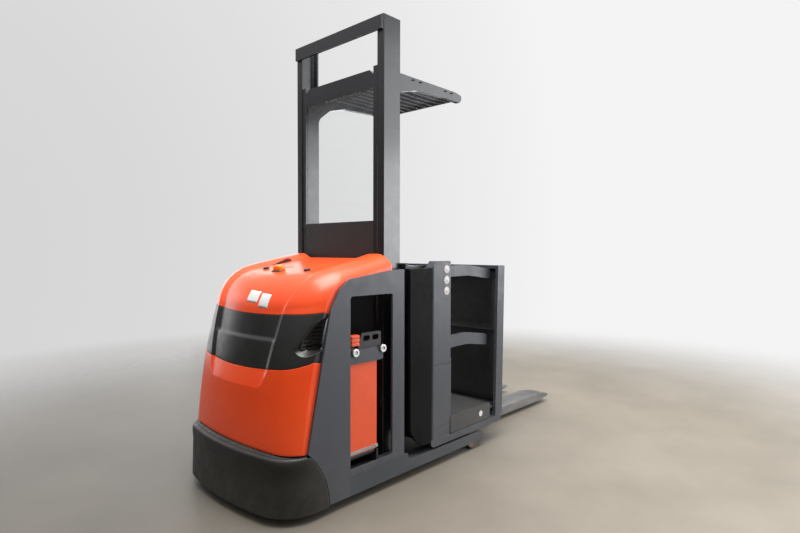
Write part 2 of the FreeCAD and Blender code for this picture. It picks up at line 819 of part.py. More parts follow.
def mast_upright():
    """Rolled channel, open towards the middle of the truck."""
    low, high = -mast_outer, -mast_inner
    section = [
        (0, low, 6), (mast_depth, low, 6), (mast_depth, high, 4), (mast_depth - mast_web, high, 4),
        (mast_depth - mast_web, low + mast_web, 8), (mast_web, low + mast_web, 8),
        (mast_web, high, 4), (0, high, 4),
    ]
    return prism("xy", section, mast_foot_z, mast_height)


def mast_beams():
    half = mast_outer - 4.0
    beams = []
    top = mast_height - beam_top_gap
    for z0, height in ((top - beam_height, beam_height), (middle_beam_z, middle_beam_height),
                       (lower_beam_z, lower_beam_height)):
        beams.append(box(-beam_plate, 0, -half, half, z0, z0 + height))
    return beams


def lift_cylinder():
    length = cylinder_top - cylinder_foot
    joint_z = cylinder_foot + 20
    barrel = tube(cylinder_r, cylinder_bore, (cylinder_x, -cylinder_y, joint_z), (0, 0, 1), length - 20)
    foot = cylinder(cylinder_r, (cylinder_x, -cylinder_y, mast_foot_z), (0, 0, 1), joint_z - mast_foot_z)
    return fuse([barrel, foot])


def lift_rod():
    top = crosshead_z()
    start = cylinder_foot + 30
    return cylinder(rod_r, (cylinder_x, -cylinder_y, start), (0, 0, 1), top - start)


def crosshead_z():
    return cylinder_top + crosshead_gap


def guard_post():
    """Upright plate that turns into the side plate of the roof."""
    corners = [
        (guard_x0, guard_foot_z), (guard_x1, guard_foot_z), (guard_x1, roof_join_z, 60), *roof_knees,
        (roof_flat_x, roof_low), (roof_end_x - 18, roof_low, 12), (roof_end_x, roof_low + 22, 12),
        (roof_end_x, roof_top - 12, 8), (roof_end_x - 60, roof_top), (guard_x0, roof_top),
    ]
    post = prism("xz", corners, -guard_out, -guard_out + guard_plate)
    arm = prism("xz", [
        (guard_x1 - 1, guard_foot_z), (housing_x1, guard_foot_z + 20),
        (housing_x1, floor_z - floor_plate - 1),
        (housing_x1 - 40, floor_z - floor_plate - 1),
        (guard_x1 - 1, arm_top),
    ], -guard_out, -guard_out + guard_plate)
    return fuse([post, arm])


def guard_beam():
    half = guard_out - guard_plate
    corners = [
        (-half, front_beam_z0), (half, front_beam_z0), (half, front_beam_z1 - 28),
        (half - 34, front_beam_z1), (-half + 34, front_beam_z1), (-half, front_beam_z1 - 28),
    ]
    return prism("yz", corners, guard_x0, guard_x0 + front_beam)


def guard_slats():
    """Slats along the roof, from the front beam to a cross bar at the rear."""
    half = guard_out - guard_plate
    z1 = roof_top - 8
    bars = [
        box(roof_end_x - 40, roof_end_x - 28, -half, half, z1 - slat_height, z1),
    ]
    pitch = 2 * half / (slat_count + 1)
    for index in range(slat_count):
        y = -half + (index + 1) * pitch
        bars.append(box(guard_x0 + front_beam - 10, roof_end_x - 30, y - slat_width / 2, y + slat_width / 2,
                        z1 - slat_height, z1))
    return fuse(bars)


def lower_panel():
    half = guard_out - guard_plate
    return box(guard_x0, guard_x0 + panel_plate, -half, half, guard_foot_z + 20, screen_z0)


def screen():
    half = guard_out - guard_plate
    return box(guard_x0 + 10, guard_x0 + 10 + screen_plate, -half, half, screen_z0, front_beam_z0)


def crosshead():
    """Beam between the guard posts that the lift rods push."""
    half = guard_out - guard_plate
    x0 = cylinder_x - crosshead_depth / 2
    return box(x0, x0 + crosshead_depth, -half, half, crosshead_z(), crosshead_z() + crosshead_height)


def mast_rollers():
    rollers = []
    start = -mast_outer + mast_web + 9
    for z in (roller_low_z, roller_high_z):
        wheel = cylinder(roller_wheel_r, (mast_depth / 2, start, z), (0, 1, 0), roller_wheel_width)
        pin_start = start + roller_wheel_width - 1
        pin = cylinder(16, (mast_depth / 2, pin_start, z), (0, 1, 0), -guard_out - pin_start + 1)
        rollers.append(fuse([wheel, pin]))
    return rollers


def front_housing():
    """Hollow moulded housing across the cabin, with a wing beside the mast on each side."""
    outer = box(housing_x0, housing_x1, -truck_half, truck_half, cabin_bottom + 20, housing_top)
    slot_half = guard_out + 2
    front_slot = box(housing_x0 - 5, housing_x0 + 20, -slot_half, slot_half, 0, arm_top + 20)
    rear_slot = box(housing_x1 - 20, housing_x1 + 5, -slot_half, slot_half, 0, floor_z)
    wings = []
    for side in (-1, 1):
        low, high = sorted((side * (truck_half - 22), side * truck_half))
        wing = prism("xz", [
            (wing_x0 + 6, 262, 60), (wing_x0 + 70, 190, 60), (housing_x1, cabin_bottom + 22),
            (housing_x1, housing_top), (wing_x0, housing_top, 12),
        ], low, high)
        wings.append(wing)
    hollow = box(housing_x0 + housing_wall, housing_x1 - housing_wall, -truck_half + 22, truck_half - 22,
                 cabin_bottom, housing_top - housing_wall)
    corner = prism("xz", [
        (wing_x0 - 10, cabin_bottom), (housing_x1 - 30, cabin_bottom),
        (wing_x0 + 70, 190), (wing_x0 - 10, 262),
    ], -2 * truck_half, 2 * truck_half)
    return fuse([outer.cut(corner)] + wings).cut(hollow).cut(front_slot).cut(rear_slot)


def post_panel():
    """Grey post beside the entry, with its two grooves and the inner face that returns into the cabin."""
    face = -truck_half
    body = prism("xz", [
        (post_x0, post_bottom), (post_x1 - 5, post_bottom), (post_x1, 633.0), (post_x1 - 2, post_top, 10),
        (post_x0 + 33, post_top, 14), (post_x0, post_top - 40),
    ], face, face + post_depth)
    body = round_edges(body, 14.0, lambda edge, middle: abs(middle.y - face) < 0.1
                       and middle.x < post_x0 + 1)
    side = prism("xz", [
        (post_x1 - 8, step_z1 + 1), (return_x1, step_z1 + 1), (return_x1, return_top - 16, 10),
        (post_x1 - 8, return_top),
    ], face + post_depth - 30, face + post_depth)
    body = fuse([body, side])
    for z, rise in ((post_seam_z, -12.0), (post_ledge_z, 14.0)):
        body = body.cut(prism("xz", [
            (post_x0 - 5, z), (post_x1 + 5, z + rise), (post_x1 + 5, z + rise + post_groove),
            (post_x0 - 5, z + post_groove),
        ], face - 5, face + post_groove))
    return body


def base_rail():
    """Angle rail along the platform's foot: a plate outside the load wheel and a flange above it."""
    face = -truck_half
    x0, x1 = housing_x1 + 2, wall_x0 + 42
    plate = prism("xz", [
        (x0, rail_top), (x0, rail_bottom, rail_round), (x1, rail_bottom, 24), (x1, rail_top),
    ], face, face + rail_plate)
    flange = box(x0, x1, face + rail_plate - 1, face + post_depth + 14, rail_top - 9, rail_top)
    return fuse([plate, flange])


def platform():
    """Floor with a skirt all round, standing on the two base rails."""
    inner = truck_half - post_depth
    outer = truck_half - step_plate
    low = rail_top + fit_gap
    high = floor_z - floor_plate + 1
    rear_x = wall_front_at(high) + 40
    shapes = [
        box(housing_x1, rear_x, -inner, inner, floor_z - floor_plate, floor_z),
        box(step_x0, wall_front_at(floor_z) - 1, -outer, outer, floor_z - floor_plate, floor_z),
    ]
    for y in (-inner, inner - 10):
        shapes.append(box(housing_x1, rear_x, y, y + 10, low, high))
    for x in (housing_x1, (housing_x1 + rear_x) / 2, rear_x - 10):
        shapes.append(box(x, x + 10, -inner, inner, low, high))
    return fuse(shapes)


def floor_mat():
    half = truck_half - post_depth - 1
    x0, x1 = housing_x1 + 6, wall_front_at(floor_z) - 6
    corners = [(x0, -half, 15), (x1, -half, 15), (x1, half, 15), (x0, half, 15)]
    return prism("xy", corners, floor_z, floor_z + mat)


def step_panel():
    face = -truck_half
    return box(step_x0, step_x1, face, face + step_plate, step_z0, step_z1)


def wall_front_at(z):
    """Front edge of the leaning back wall at height z."""
    return wall_x0 - wall_lean * (wall_top - z) / (wall_top - wall_bottom)


def wall_rear_at(z):
    return wall_front_at(z) + wall_x1 - wall_x0


def back_wall():
    """Leaning back wall: a plate between two deep side flanges, with a rim on top."""
    foot_x0, foot_x1 = wall_front_at(wall_bottom), wall_rear_at(wall_bottom)
    half = truck_half
    shapes = [prism("xz", [
        (foot_x1 - 14, wall_bottom), (foot_x1, wall_bottom), (wall_x1, wall_top), (wall_x1 - 14, wall_top),
    ], -half, half)]
    for side in (-1, 1):
        low, high = sorted((side * (half - 20), side * half))
        flange = prism("xz", [
            (foot_x0, wall_bottom), (foot_x1 - 8, wall_bottom, 20), (foot_x1, wall_bottom + 40),
            (wall_x1, wall_top), (wall_x0, wall_top, 8),
        ], low, high)
        face = side * half
        groove = box(foot_x0 - 5, wall_x1 + 5, face - post_groove, face + post_groove,
                     wall_joint_z, wall_joint_z + post_groove)
        shapes.append(flange.cut(groove))
    shapes.append(prism("xz", [
        (wall_front_at(wall_top - 20), wall_top - 20), (wall_x1 - 10, wall_top - 20),
        (wall_x1 - 10, wall_top), (wall_x0, wall_top),
    ], -half + 1, half - 1))
    return fuse(shapes)


def fork():
    inner = -fork_out + fork_width
    blade = prism("xz", [
        (wall_x1, fork_bottom), (fork_tip_x - 120, fork_bottom), (fork_tip_x, fork_bottom + 16, 8),
        (fork_tip_x, fork_bottom + 34, 8), (fork_tip_x - 190, fork_top), (wall_x1 + 34, fork_top, 12),
        (wall_x1 + 34, shank_top), (wall_x1, shank_top),
    ], -fork_out, inner)
    return blade


def fork_carriage():
    """Two bars between the shanks, whose front faces follow the leaning back wall."""
    half = fork_out - fork_width
    bars = []
    for z0, z1 in ((wall_bottom + 45, wall_bottom + 145), (shank_top - 160, shank_top - 40)):
        bars.append(prism("xz", [
            (wall_rear_at(z0) + fit_gap, z0), (wall_x1 + 26, z0), (wall_x1 + 26, z1),
            (wall_rear_at(z1) + fit_gap, z1),
        ], -half, half))
    return bars


def gate(pivot_z, reach, tall, bow, side):
    """Swinging gate bar: a hub on the pivot pin and an arched bar that droops towards its end."""
    face = -truck_half + post_depth + move_gap
    x0 = gate_pivot_x
    half = tall / 2
    droop = gate_droop

    def bar(skin, y0, y1):
        inner = half - skin
        knee = x0 + reach * 0.55
        tip = x0 + reach - skin
        return prism("xz", [
            (x0 - inner, pivot_z - inner, inner - 3), (knee, pivot_z - inner + bow, 500),
            (tip, pivot_z - inner - droop, 12), (tip, pivot_z + inner - droop, 16),
            (knee, pivot_z + inner + bow, 500), (x0 - inner, pivot_z + inner, inner - 3),
        ], y0, y1)

    shape = bar(0.0, face, face + gate_bar)
    trough = bar(gate_lip, face + gate_web, face + gate_bar + 1)
    keep = box(x0 - half, x0 + half + 12, face, face + gate_bar + 2, pivot_z - tall, pivot_z + tall)
    shape = shape.cut(trough.cut(keep))
    shape = shape.cut(cylinder(gate_pin_r + bearing_gap, (x0, face - 5, pivot_z), (0, 1, 0), gate_bar + 10))
    return shape if side < 0 else mirrored(shape)


def gate_pin(pivot_z):
    face = -truck_half + post_depth
    pin = cylinder(gate_pin_r, (gate_pivot_x, face - 1, pivot_z), (0, 1, 0), move_gap + gate_bar + 7)
    head = cylinder(gate_pin_r + 9, (gate_pivot_x, face + move_gap + gate_bar + 5, pivot_z), (0, 1, 0), 8)
    return fuse([pin, head])


def console():
    """Desk across the cabin's front, with a raised panel in the middle and a rail along its front."""
    top = housing_top + desk_plate
    desk = box(housing_x0, housing_x1, -desk_half, desk_half, housing_top, top)
    pod = prism("xz", [
        (housing_x0 + 12, top - 1), (housing_x1 - 20, top - 1), (housing_x1 - 26, top + 10, 6),
        (housing_x0 + 60, top + pod_height, 10), (housing_x0 + 12, top + pod_height, 14),
    ], -pod_half, pod_half)
    rim = prism("xz", [
        (housing_x0, top - 1), (housing_x0 + 26, top - 1), (housing_x0 + 26, top + rim_height, 10),
        (housing_x0, top + rim_height, 10),
    ], -desk_half, desk_half)
    return fuse([desk, pod, rim])


def steering_wheel():
    """Three-spoked wheel whose rim has a section with eight flats."""
    z = housing_top + desk_plate + steer_rise
    corners = []
    for index in range(8):
        angle = math.radians(22.5 + 45 * index)
        corners.append(Vector(steer_x + steer_wheel_r + steer_rim_r * math.cos(angle), steer_y,
                              z + steer_rim_r * math.sin(angle)))
    section = Part.Face(Part.makePolygon(corners + corners[:1]))
    rim = section.revolve(Vector(steer_x, steer_y, z), Vector(0, 0, 1), 360)
    hub = tube(wheel_hub_r, column_pin_r + bearing_gap, (steer_x, steer_y, z - 22), (0, 0, 1), 30)
    spokes = []
    for turn in (0, 120, 240):
        spoke = box(steer_x + wheel_hub_r - 4, steer_x + steer_wheel_r,
                    steer_y - 11, steer_y + 11, z - 8, z + 2)
        spoke.rotate(Vector(steer_x, steer_y, 0), Vector(0, 0, 1), turn)
        spokes.append(spoke)
    return fuse([rim, hub] + spokes)


def steering_column():
    z = housing_top + desk_plate
    base = cylinder(column_r, (steer_x, steer_y, z), (0, 0, 1), 18)
    pin = cylinder(column_pin_r, (steer_x, steer_y, z + 17), (0, 0, 1), 40)
    return fuse([base, pin])


def control_handle():
    """Lever block with a slanted grip and a thumb rocker on its top."""
    z = housing_top + desk_plate
    base = cylinder(34, (steer_x, -steer_y, z), (0, 0, 1), 22)
    grip = prism("xz", [
        (steer_x - 17, z + 20), (steer_x + 17, z + 20),
        (steer_x + 42, z + 112, 14), (steer_x + 6, z + 118, 10),
    ], -steer_y - 16, -steer_y + 16)
    return fuse([base, grip])


def marker_lamp(hood):
    """Amber lamp that lies in the valley of the hood, its foot shaped to the surface."""
    x0, x1 = lamp_x - lamp_length / 2, lamp_x + lamp_length / 2
    body = prism("xz", [
        (x0, lamp_z - 90), (x1, lamp_z - 90), (x1 - 8, lamp_z, 12), (x0 + 12, lamp_z - 10, 14),
    ], lamp_y - lamp_width / 2, lamp_y + lamp_width / 2)
    lifted = hood.copy()
    lifted.translate(Vector(0, 0, fit_gap))
    return max(body.cut(lifted).Solids, key=lambda solid: solid.BoundBox.ZMax)


def main():
    save("bumper", [build_bumper()])
    covers = hood_covers()
    for node, cover in covers.items():
        save(node, [cover])
    save("marker_lamp", [marker_lamp(covers["hood_upper"])])
    panel = build_side_panel()
    save("side_panel_right", [panel])
    save("side_panel_left", [mirrored(panel)])
    save("chassis_frame", [fuse([build_frame()] + both(load_axle()))])
    save("load_wheel_right", [load_wheel()])
    save("load_wheel_left", [mirrored(load_wheel())])
    unit, wheel = drive_parts()
    save("drive_unit", [unit])
    save("drive_wheel", [wheel])
    save("intake_grilles", both(intake_grilles()))
    save("battery", [build_battery()])
    save("battery_top", [battery_cover()] + both(battery_lug()))
    save("roller_bed", [fuse(roller_bed() + build_rollers())])
    locks = [battery_lock(window_x0 + lock_inset + 16), battery_lock(bracket_x1 - lock_inset + 24)]
    save("battery_brackets", both(fuse([build_bracket()] + locks)))
    save("mast_upright_right", [mast_upright()])
    save("mast_upright_left", [mirrored(mast_upright())])
    save("mast_crossbeams", mast_beams())
    save("lift_cylinders", both(lift_cylinder()))
    save("lift_rods", both(lift_rod()))
    post = fuse([guard_post()] + mast_rollers())
    save("guard_post_right", [post])
    save("guard_post_left", [mirrored(post)])
    save("guard_slats", [fuse([guard_beam(), guard_slats()])])
    save("lower_panel", [lower_panel()])
    save("screen", [screen()])
    save("crosshead", [crosshead()])
    save("front_housing", [front_housing()])
    post = fuse([post_panel(), gate_pin(gate_upper_z), gate_pin(gate_lower_z)])
    save("post_panel_right", [post])
    save("post_panel_left", [mirrored(post)])
    save("platform", [platform()])
    save("base_rails", both(base_rail()))
    save("floor_mat", [floor_mat()])
    save("step_panels", both(step_panel()))
    save("back_wall", [back_wall()])
    save("forks", both(fork()))
    save("fork_carriage", fork_carriage())
    for side, name in ((-1, "right"), (1, "left")):
        upper = gate(gate_upper_z, gate_upper_reach, gate_upper_tall, gate_upper_bow, side)
        lower = gate(gate_lower_z, gate_lower_reach, gate_lower_tall, gate_lower_bow, side)
        save("gate_" + name + "_upper", [upper])
        save("gate_" + name + "_lower", [lower])
    save("console", [fuse([console(), steering_column()])])
    save("steering_wheel", [steering_wheel()])
    save("control_handle", [control_handle()])


main()
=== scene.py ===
import json
import math

import bmesh
import bpy
from mathutils import Matrix, Vector


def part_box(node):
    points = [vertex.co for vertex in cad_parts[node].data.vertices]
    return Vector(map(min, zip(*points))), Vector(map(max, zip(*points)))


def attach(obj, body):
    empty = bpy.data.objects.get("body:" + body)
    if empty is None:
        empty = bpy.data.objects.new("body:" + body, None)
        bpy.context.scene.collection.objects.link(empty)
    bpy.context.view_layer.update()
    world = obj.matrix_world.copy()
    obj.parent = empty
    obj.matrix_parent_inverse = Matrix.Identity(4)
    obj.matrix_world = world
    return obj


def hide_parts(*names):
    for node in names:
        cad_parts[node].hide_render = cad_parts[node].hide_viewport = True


# Looks of the order picker truck: finishes for every node of the frame, smooth mouldings for the
# hood and the bumper, and small pieces that the frame leaves out. Metres, in the frame's own axes:
# +X to the forks, the side that the photograph shows faces -Y. Numbers in millimetres are in the
# mast's frame, with x = 0 on the mast's front face; spot() turns them into metres.

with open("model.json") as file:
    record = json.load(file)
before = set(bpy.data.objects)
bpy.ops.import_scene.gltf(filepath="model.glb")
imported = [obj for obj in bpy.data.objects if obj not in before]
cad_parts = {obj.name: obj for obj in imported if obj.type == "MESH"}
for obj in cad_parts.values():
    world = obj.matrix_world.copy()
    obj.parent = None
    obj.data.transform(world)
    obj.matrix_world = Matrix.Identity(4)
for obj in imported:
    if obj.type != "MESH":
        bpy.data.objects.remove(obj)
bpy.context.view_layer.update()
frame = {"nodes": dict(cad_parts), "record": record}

# Camera of the photograph
LENS = 24.395
CAMERA_AT = Vector((-2.83313, -2.54739, 1.30441))
CAMERA_YAW = 0.75196
CAMERA_PITCH = -0.02944
CAMERA_ROLL = 0.00284

# The room's light: strength at the horizon and overhead, and the upward directions between them
WORLD_LOW, WORLD_HIGH = 0.04, 1.3
WORLD_FROM, WORLD_TO = 0.08, 0.85
# The pale surroundings that the camera sees, darker straight behind the truck
PALE_BEHIND, PALE_BESIDE = (0.66, 0.66, 0.66), (0.90, 0.90, 0.90)
# The floor: reach of its square, where it starts and ends to fade, its paint, and the painted shade and
# light across it, darker to the left and lighter to the right
FLOOR_REACH, FADE_FROM, FADE_TO = 14.0, 2.4, 6.0
FLOOR_PALE, FLOOR_STAIN = (0.192, 0.166, 0.132), (0.152, 0.132, 0.103)
SHADE_REACH, SHADE_LEFT, SHADE_RIGHT = 2.2, 0.42, 1.30
# Area lights: place, target, size, power in watts, colour
LIGHTS = {
    "ceiling": ((-1.0, -1.0, 4.8), (-0.8, -0.2, 0), (3.2, 3.2), 370.0, (1.0, 1.0, 1.0)),
    "bright_wall": ((4.6, -4.4, 1.7), (0, 0, 1.2), (4.5, 2.6), 240.0, (0.96, 0.98, 1.0)),
    "upper_wall": ((4.6, -4.4, 4.0), (0, 0, 1.8), (4.5, 2.0), 72.0, (0.93, 0.96, 1.0)),
    "far_wall": ((-1.1, 5.0, 1.5), (-1.1, 0, 1.0), (4.0, 2.6), 62.0, (1.0, 1.0, 1.0)),
    "back_wall": ((3.6, 5.6, 2.4), (0, 0, 1.2), (5.5, 2.6), 110.0, (1.0, 1.0, 1.0)),
}

# Mast's front face on the frame's x axis, in metres
MAST_AT = -0.675
# The two sides of the truck, by the sign of y
SIDES = ((-1, "right"), (1, "left"))

# Colours, linear
ORANGE = (0.82, 0.076, 0.010)
ORANGE_DEEP = (0.72, 0.054, 0.008)
PANEL_GREY = (0.041, 0.044, 0.055)
POST_GREY = (0.038, 0.041, 0.051)
BLACK = (0.010, 0.010, 0.011)
DUST = (0.34, 0.31, 0.27)
BARE_STEEL = (0.52, 0.51, 0.49)


# Nodes

def node(tree, kind, inputs=None, **settings):
    """Add a node; inputs maps a socket's name or number to a value or to another socket."""
    made = tree.nodes.new(kind)
    for name, value in settings.items():
        setattr(made, name, value)
    for key, value in (inputs or {}).items():
        if isinstance(value, bpy.types.NodeSocket):
            tree.links.new(value, made.inputs[key])
        else:
            made.inputs[key].default_value = value
    return made


def place(tree, stretch=(1.0, 1.0, 1.0)):
    """Object coordinates, stretched."""
    at = node(tree, "ShaderNodeTexCoord").outputs["Object"]
    if stretch == (1.0, 1.0, 1.0):
        return at
    return node(tree, "ShaderNodeMapping", {"Vector": at, "Scale": stretch}).outputs[0]


def noise(tree, scale, detail=3.0, stretch=(1.0, 1.0, 1.0), rough=0.5):
    """Noise from 0 to 1, fixed to the object."""
    made = node(tree, "ShaderNodeTexNoise", {
        "Vector": place(tree, stretch), "Scale": scale, "Detail": detail, "Roughness": rough})
    return made.outputs["Fac"]


def span(tree, value, low, high, to_low=0.0, to_high=1.0):
    """A value's range low to high made the range to_low to to_high, and held there beyond it."""
    made = node(tree, "ShaderNodeMapRange", {
        "Value": value, "From Min": low, "From Max": high, "To Min": to_low, "To Max": to_high})
    return made.outputs[0]


def times(tree, first, second):
    """The product of two values."""
    return node(tree, "ShaderNodeMath", {0: first, 1: second}, operation="MULTIPLY").outputs[0]


def blend(tree, share, first, second):
    """Mix two colours, each a socket or a tuple of three."""
    made = node(tree, "ShaderNodeMix", data_type="RGBA")
    for index, value in ((0, share), (6, first), (7, second)):
        if isinstance(value, bpy.types.NodeSocket):
            tree.links.new(value, made.inputs[index])
        else:
            made.inputs[index].default_value = value if index == 0 else (*value, 1.0)
    return made.outputs[2]


def edge_mask(tree, radius):
    """1 along convex edges, 0 on flat faces."""
    rounded = node(tree, "ShaderNodeBevel", {"Radius": radius}, samples=4).outputs[0]
    flat = node(tree, "ShaderNodeNewGeometry").outputs["Normal"]
    dot = node(tree, "ShaderNodeVectorMath", {0: rounded, 1: flat}, operation="DOT_PRODUCT")
    return span(tree, dot.outputs["Value"], 0.985, 0.90)


def height_mask(tree, low, high):
    """1 at height low, fading to 0 at height high."""
    z = node(tree, "ShaderNodeSeparateXYZ", {0: place(tree)}).outputs["Z"]
    return span(tree, z, high, low)


def upward_mask(tree):
    """1 on faces that look up."""
    normal = node(tree, "ShaderNodeNewGeometry").outputs["Normal"]
    z = node(tree, "ShaderNodeSeparateXYZ", {0: normal}).outputs["Z"]
    return span(tree, z, 0.6, 0.98)


def finish(name, colour, second, roughness, metallic=0.0, coat=0.0, mottle=3.0, grain=900.0, bump=0.03,
           wear=None, wear_width=0.003, dust=0.0, dust_top=0.4, stretch=(1.0, 1.0, 1.0), marks=0.0,
           specular=0.5):
    """A finish with two-tone mottling, grain, scuff marks, worn edges and dust near the floor."""
    material = bpy.data.materials.new(name)
    material.use_nodes = True
    tree = material.node_tree
    shader = tree.nodes["Principled BSDF"]
    shader.inputs["Metallic"].default_value = metallic
    shader.inputs["Coat Weight"].default_value = coat
    shader.inputs["Coat Roughness"].default_value = 0.18
    shader.inputs["Specular IOR Level"].default_value = specular
    cloud = noise(tree, mottle, 5.0, stretch, 0.6)
    look = blend(tree, span(tree, cloud, 0.35, 0.68), colour, second)
    uneven = noise(tree, mottle * 6, 4.0, stretch)
    rough = span(tree, uneven, 0.3, 0.7, roughness * 0.86, min(1.0, roughness * 1.16))
    if marks:
        lines = noise(tree, 9.0, 6.0, (1.0, 1.0, 14.0), 0.7)
        mask = times(tree, span(tree, lines, 0.66, 0.74), marks)
        look = blend(tree, mask, look, tuple(min(1.0, 2.2 * c + 0.05) for c in colour))
    if dust:
        patches = span(tree, noise(tree, 7.0, 6.0, rough=0.65), 0.35, 0.75)
        film = times(tree, height_mask(tree, 0.0, dust_top), patches)
        look = blend(tree, times(tree, film, dust), look, DUST)
        lying = times(tree, upward_mask(tree), span(tree, noise(tree, 11.0, 5.0), 0.3, 0.8))
        look = blend(tree, times(tree, lying, dust * 0.35), look, DUST)
    if wear:
        broken = span(tree, noise(tree, 38.0, 5.0, rough=0.7), 0.48, 0.60)
        rubbed = times(tree, edge_mask(tree, wear_width), broken)
        look = blend(tree, rubbed, look, wear)
    tree.links.new(look, shader.inputs["Base Color"])
    tree.links.new(rough, shader.inputs["Roughness"])
    relief = node(tree, "ShaderNodeBump", {
        "Height": noise(tree, grain, 2.0), "Strength": bump * 4, "Distance": 0.0004})
    tree.links.new(relief.outputs[0], shader.inputs["Normal"])
    return material


def clear_finish(name, tint, roughness):
    """Clear sheet with a thin haze of wiping marks."""
    material = bpy.data.materials.new(name)
    material.use_nodes = True
    tree = material.node_tree
    tree.nodes.remove(tree.nodes["Principled BSDF"])
    haze = span(tree, noise(tree, 6.0, 6.0, (1.0, 1.0, 3.0)), 0.45, 0.8, 0.004, 0.03)
    see = node(tree, "ShaderNodeBsdfTransparent", {"Color": (*tint, 1.0)})
    film = node(tree, "ShaderNodeBsdfDiffuse", {"Color": (0.9, 0.9, 0.9, 1.0)})
    gloss = node(tree, "ShaderNodeBsdfGlossy", {"Color": (1.0, 1.0, 1.0, 1.0), "Roughness": roughness})
    hazy = node(tree, "ShaderNodeMixShader", {0: haze, 1: see.outputs[0], 2: film.outputs[0]})
    whole = node(tree, "ShaderNodeMixShader", {0: 0.03, 1: hazy.outputs[0], 2: gloss.outputs[0]})
    tree.links.new(whole.outputs[0], tree.nodes["Material Output"].inputs["Surface"])
    return material


def painted(name, colour, second, roughness, **settings):
    """A row of a table of finishes: its name and the finish."""
    return name, finish(name, colour, second, roughness, **settings)


FINISHES = dict((
    painted("hood_orange", ORANGE, ORANGE_DEEP, 0.34, coat=0.12, mottle=1.6, grain=700.0, bump=0.02,
            specular=0.4, dust=0.04, dust_top=0.7),
    painted("band_black", (0.013, 0.012, 0.011), (0.018, 0.017, 0.016), 0.34, mottle=3.0, bump=0.05,
            marks=0.15),
    painted("panel_grey", PANEL_GREY, (0.042, 0.045, 0.054), 0.42, mottle=2.0, grain=800.0, bump=0.04,
            wear=(0.22, 0.22, 0.23), wear_width=0.002, dust=0.10, dust_top=0.5),
    painted("bumper_black", (0.012, 0.011, 0.009), (0.018, 0.016, 0.013), 0.5, mottle=4.0, grain=500.0,
            bump=0.12, dust=0.12, dust_top=0.30, marks=0.10, specular=0.35),
    painted("frame_black", BLACK, (0.016, 0.015, 0.015), 0.5, mottle=6.0, bump=0.06, dust=0.2),
    painted("mast_black", (0.009, 0.009, 0.010), (0.013, 0.013, 0.014), 0.30, coat=0.5, mottle=2.5,
            bump=0.04, wear=(0.18, 0.18, 0.18), wear_width=0.002),
    painted("post_grey", POST_GREY, (0.043, 0.046, 0.055), 0.44, mottle=2.0, bump=0.05,
            wear=(0.24, 0.24, 0.25), wear_width=0.002, dust=0.10, dust_top=0.5),
    painted("battery_orange", (0.68, 0.074, 0.014), (0.56, 0.054, 0.011), 0.42, mottle=3.0, grain=400.0,
            bump=0.08, marks=0.25, wear=(0.35, 0.30, 0.28)),
    painted("tyre_poly", (0.060, 0.030, 0.016), (0.085, 0.048, 0.028), 0.55, mottle=14.0, grain=300.0,
            bump=0.12, dust=0.5, dust_top=0.2),
    painted("steel", (0.42, 0.42, 0.42), (0.30, 0.30, 0.30), 0.30, metallic=0.9, mottle=12.0, bump=0.03,
            stretch=(1.0, 1.0, 0.1)),
    painted("fork_steel", (0.26, 0.25, 0.24), (0.07, 0.07, 0.07), 0.42, metallic=0.5, mottle=7.0,
            stretch=(0.25, 1.6, 1.0), bump=0.06, wear=BARE_STEEL, wear_width=0.004),
    ("clear", clear_finish("clear", (0.985, 0.99, 0.99), 0.04)),
    painted("mat_rubber", (0.016, 0.016, 0.016), (0.026, 0.025, 0.024), 0.7, mottle=9.0, bump=0.2,
            dust=0.10),
    painted("trim_plastic", (0.006, 0.006, 0.006), (0.009, 0.009, 0.009), 0.42, mottle=5.0, grain=1200.0,
            bump=0.1),
    painted("pale_plastic", (0.68, 0.68, 0.66), (0.58, 0.58, 0.56), 0.25, mottle=20.0, bump=0.03,
            marks=0.05),
    # Painted shade: dark red for the hand hole's cup, which is the hood's orange lying in shade
    painted("painted_shade_red", (0.085, 0.008, 0.003), (0.06, 0.006, 0.002), 0.6, mottle=3.0, bump=0.02,
            specular=0.15),
    painted("disc_grey", (0.52, 0.49, 0.48), (0.42, 0.40, 0.39), 0.35, mottle=40.0, bump=0.03),
    painted("amber", (0.90, 0.23, 0.010), (0.80, 0.16, 0.008), 0.12, coat=0.5, mottle=30.0, bump=0.02),
))

# Nodes whose paint the photograph shows darker or lighter than the rest of their slot
REPAINTED = {
    "chassis_frame": finish("sill_grey", (0.040, 0.044, 0.052), (0.032, 0.035, 0.041), 0.42, mottle=2.5,
                            bump=0.05, wear=(0.26, 0.26, 0.26), wear_width=0.002, dust=0.10, dust_top=0.2),
    "front_housing": finish("housing_black", (0.005, 0.005, 0.005), (0.008, 0.008, 0.008), 0.5, mottle=4.0,
                            grain=1200.0, bump=0.08, specular=0.05),
    "step_panels": finish("step_grey", (0.029, 0.029, 0.028), (0.039, 0.038, 0.036), 0.5, mottle=3.0,
                          bump=0.06, wear=(0.22, 0.22, 0.21), wear_width=0.002, dust=0.12, dust_top=0.35),
}


def dress_frame():
    """Give every node of the frame the finish of its material slot, or its own paint."""
    for part in frame["record"]["subparts"]:
        mesh = frame["nodes"][part["node"]].data
        mesh.materials.clear()
        mesh.materials.append(REPAINTED.get(part["node"], FINISHES[part["material_slot"]]))


# Pieces

def spot(x, y, z):
    """A point given in millimetres in the mast's frame, in the row frame's metres."""
    return Vector((x / 1000 + MAST_AT, y / 1000, z / 1000))


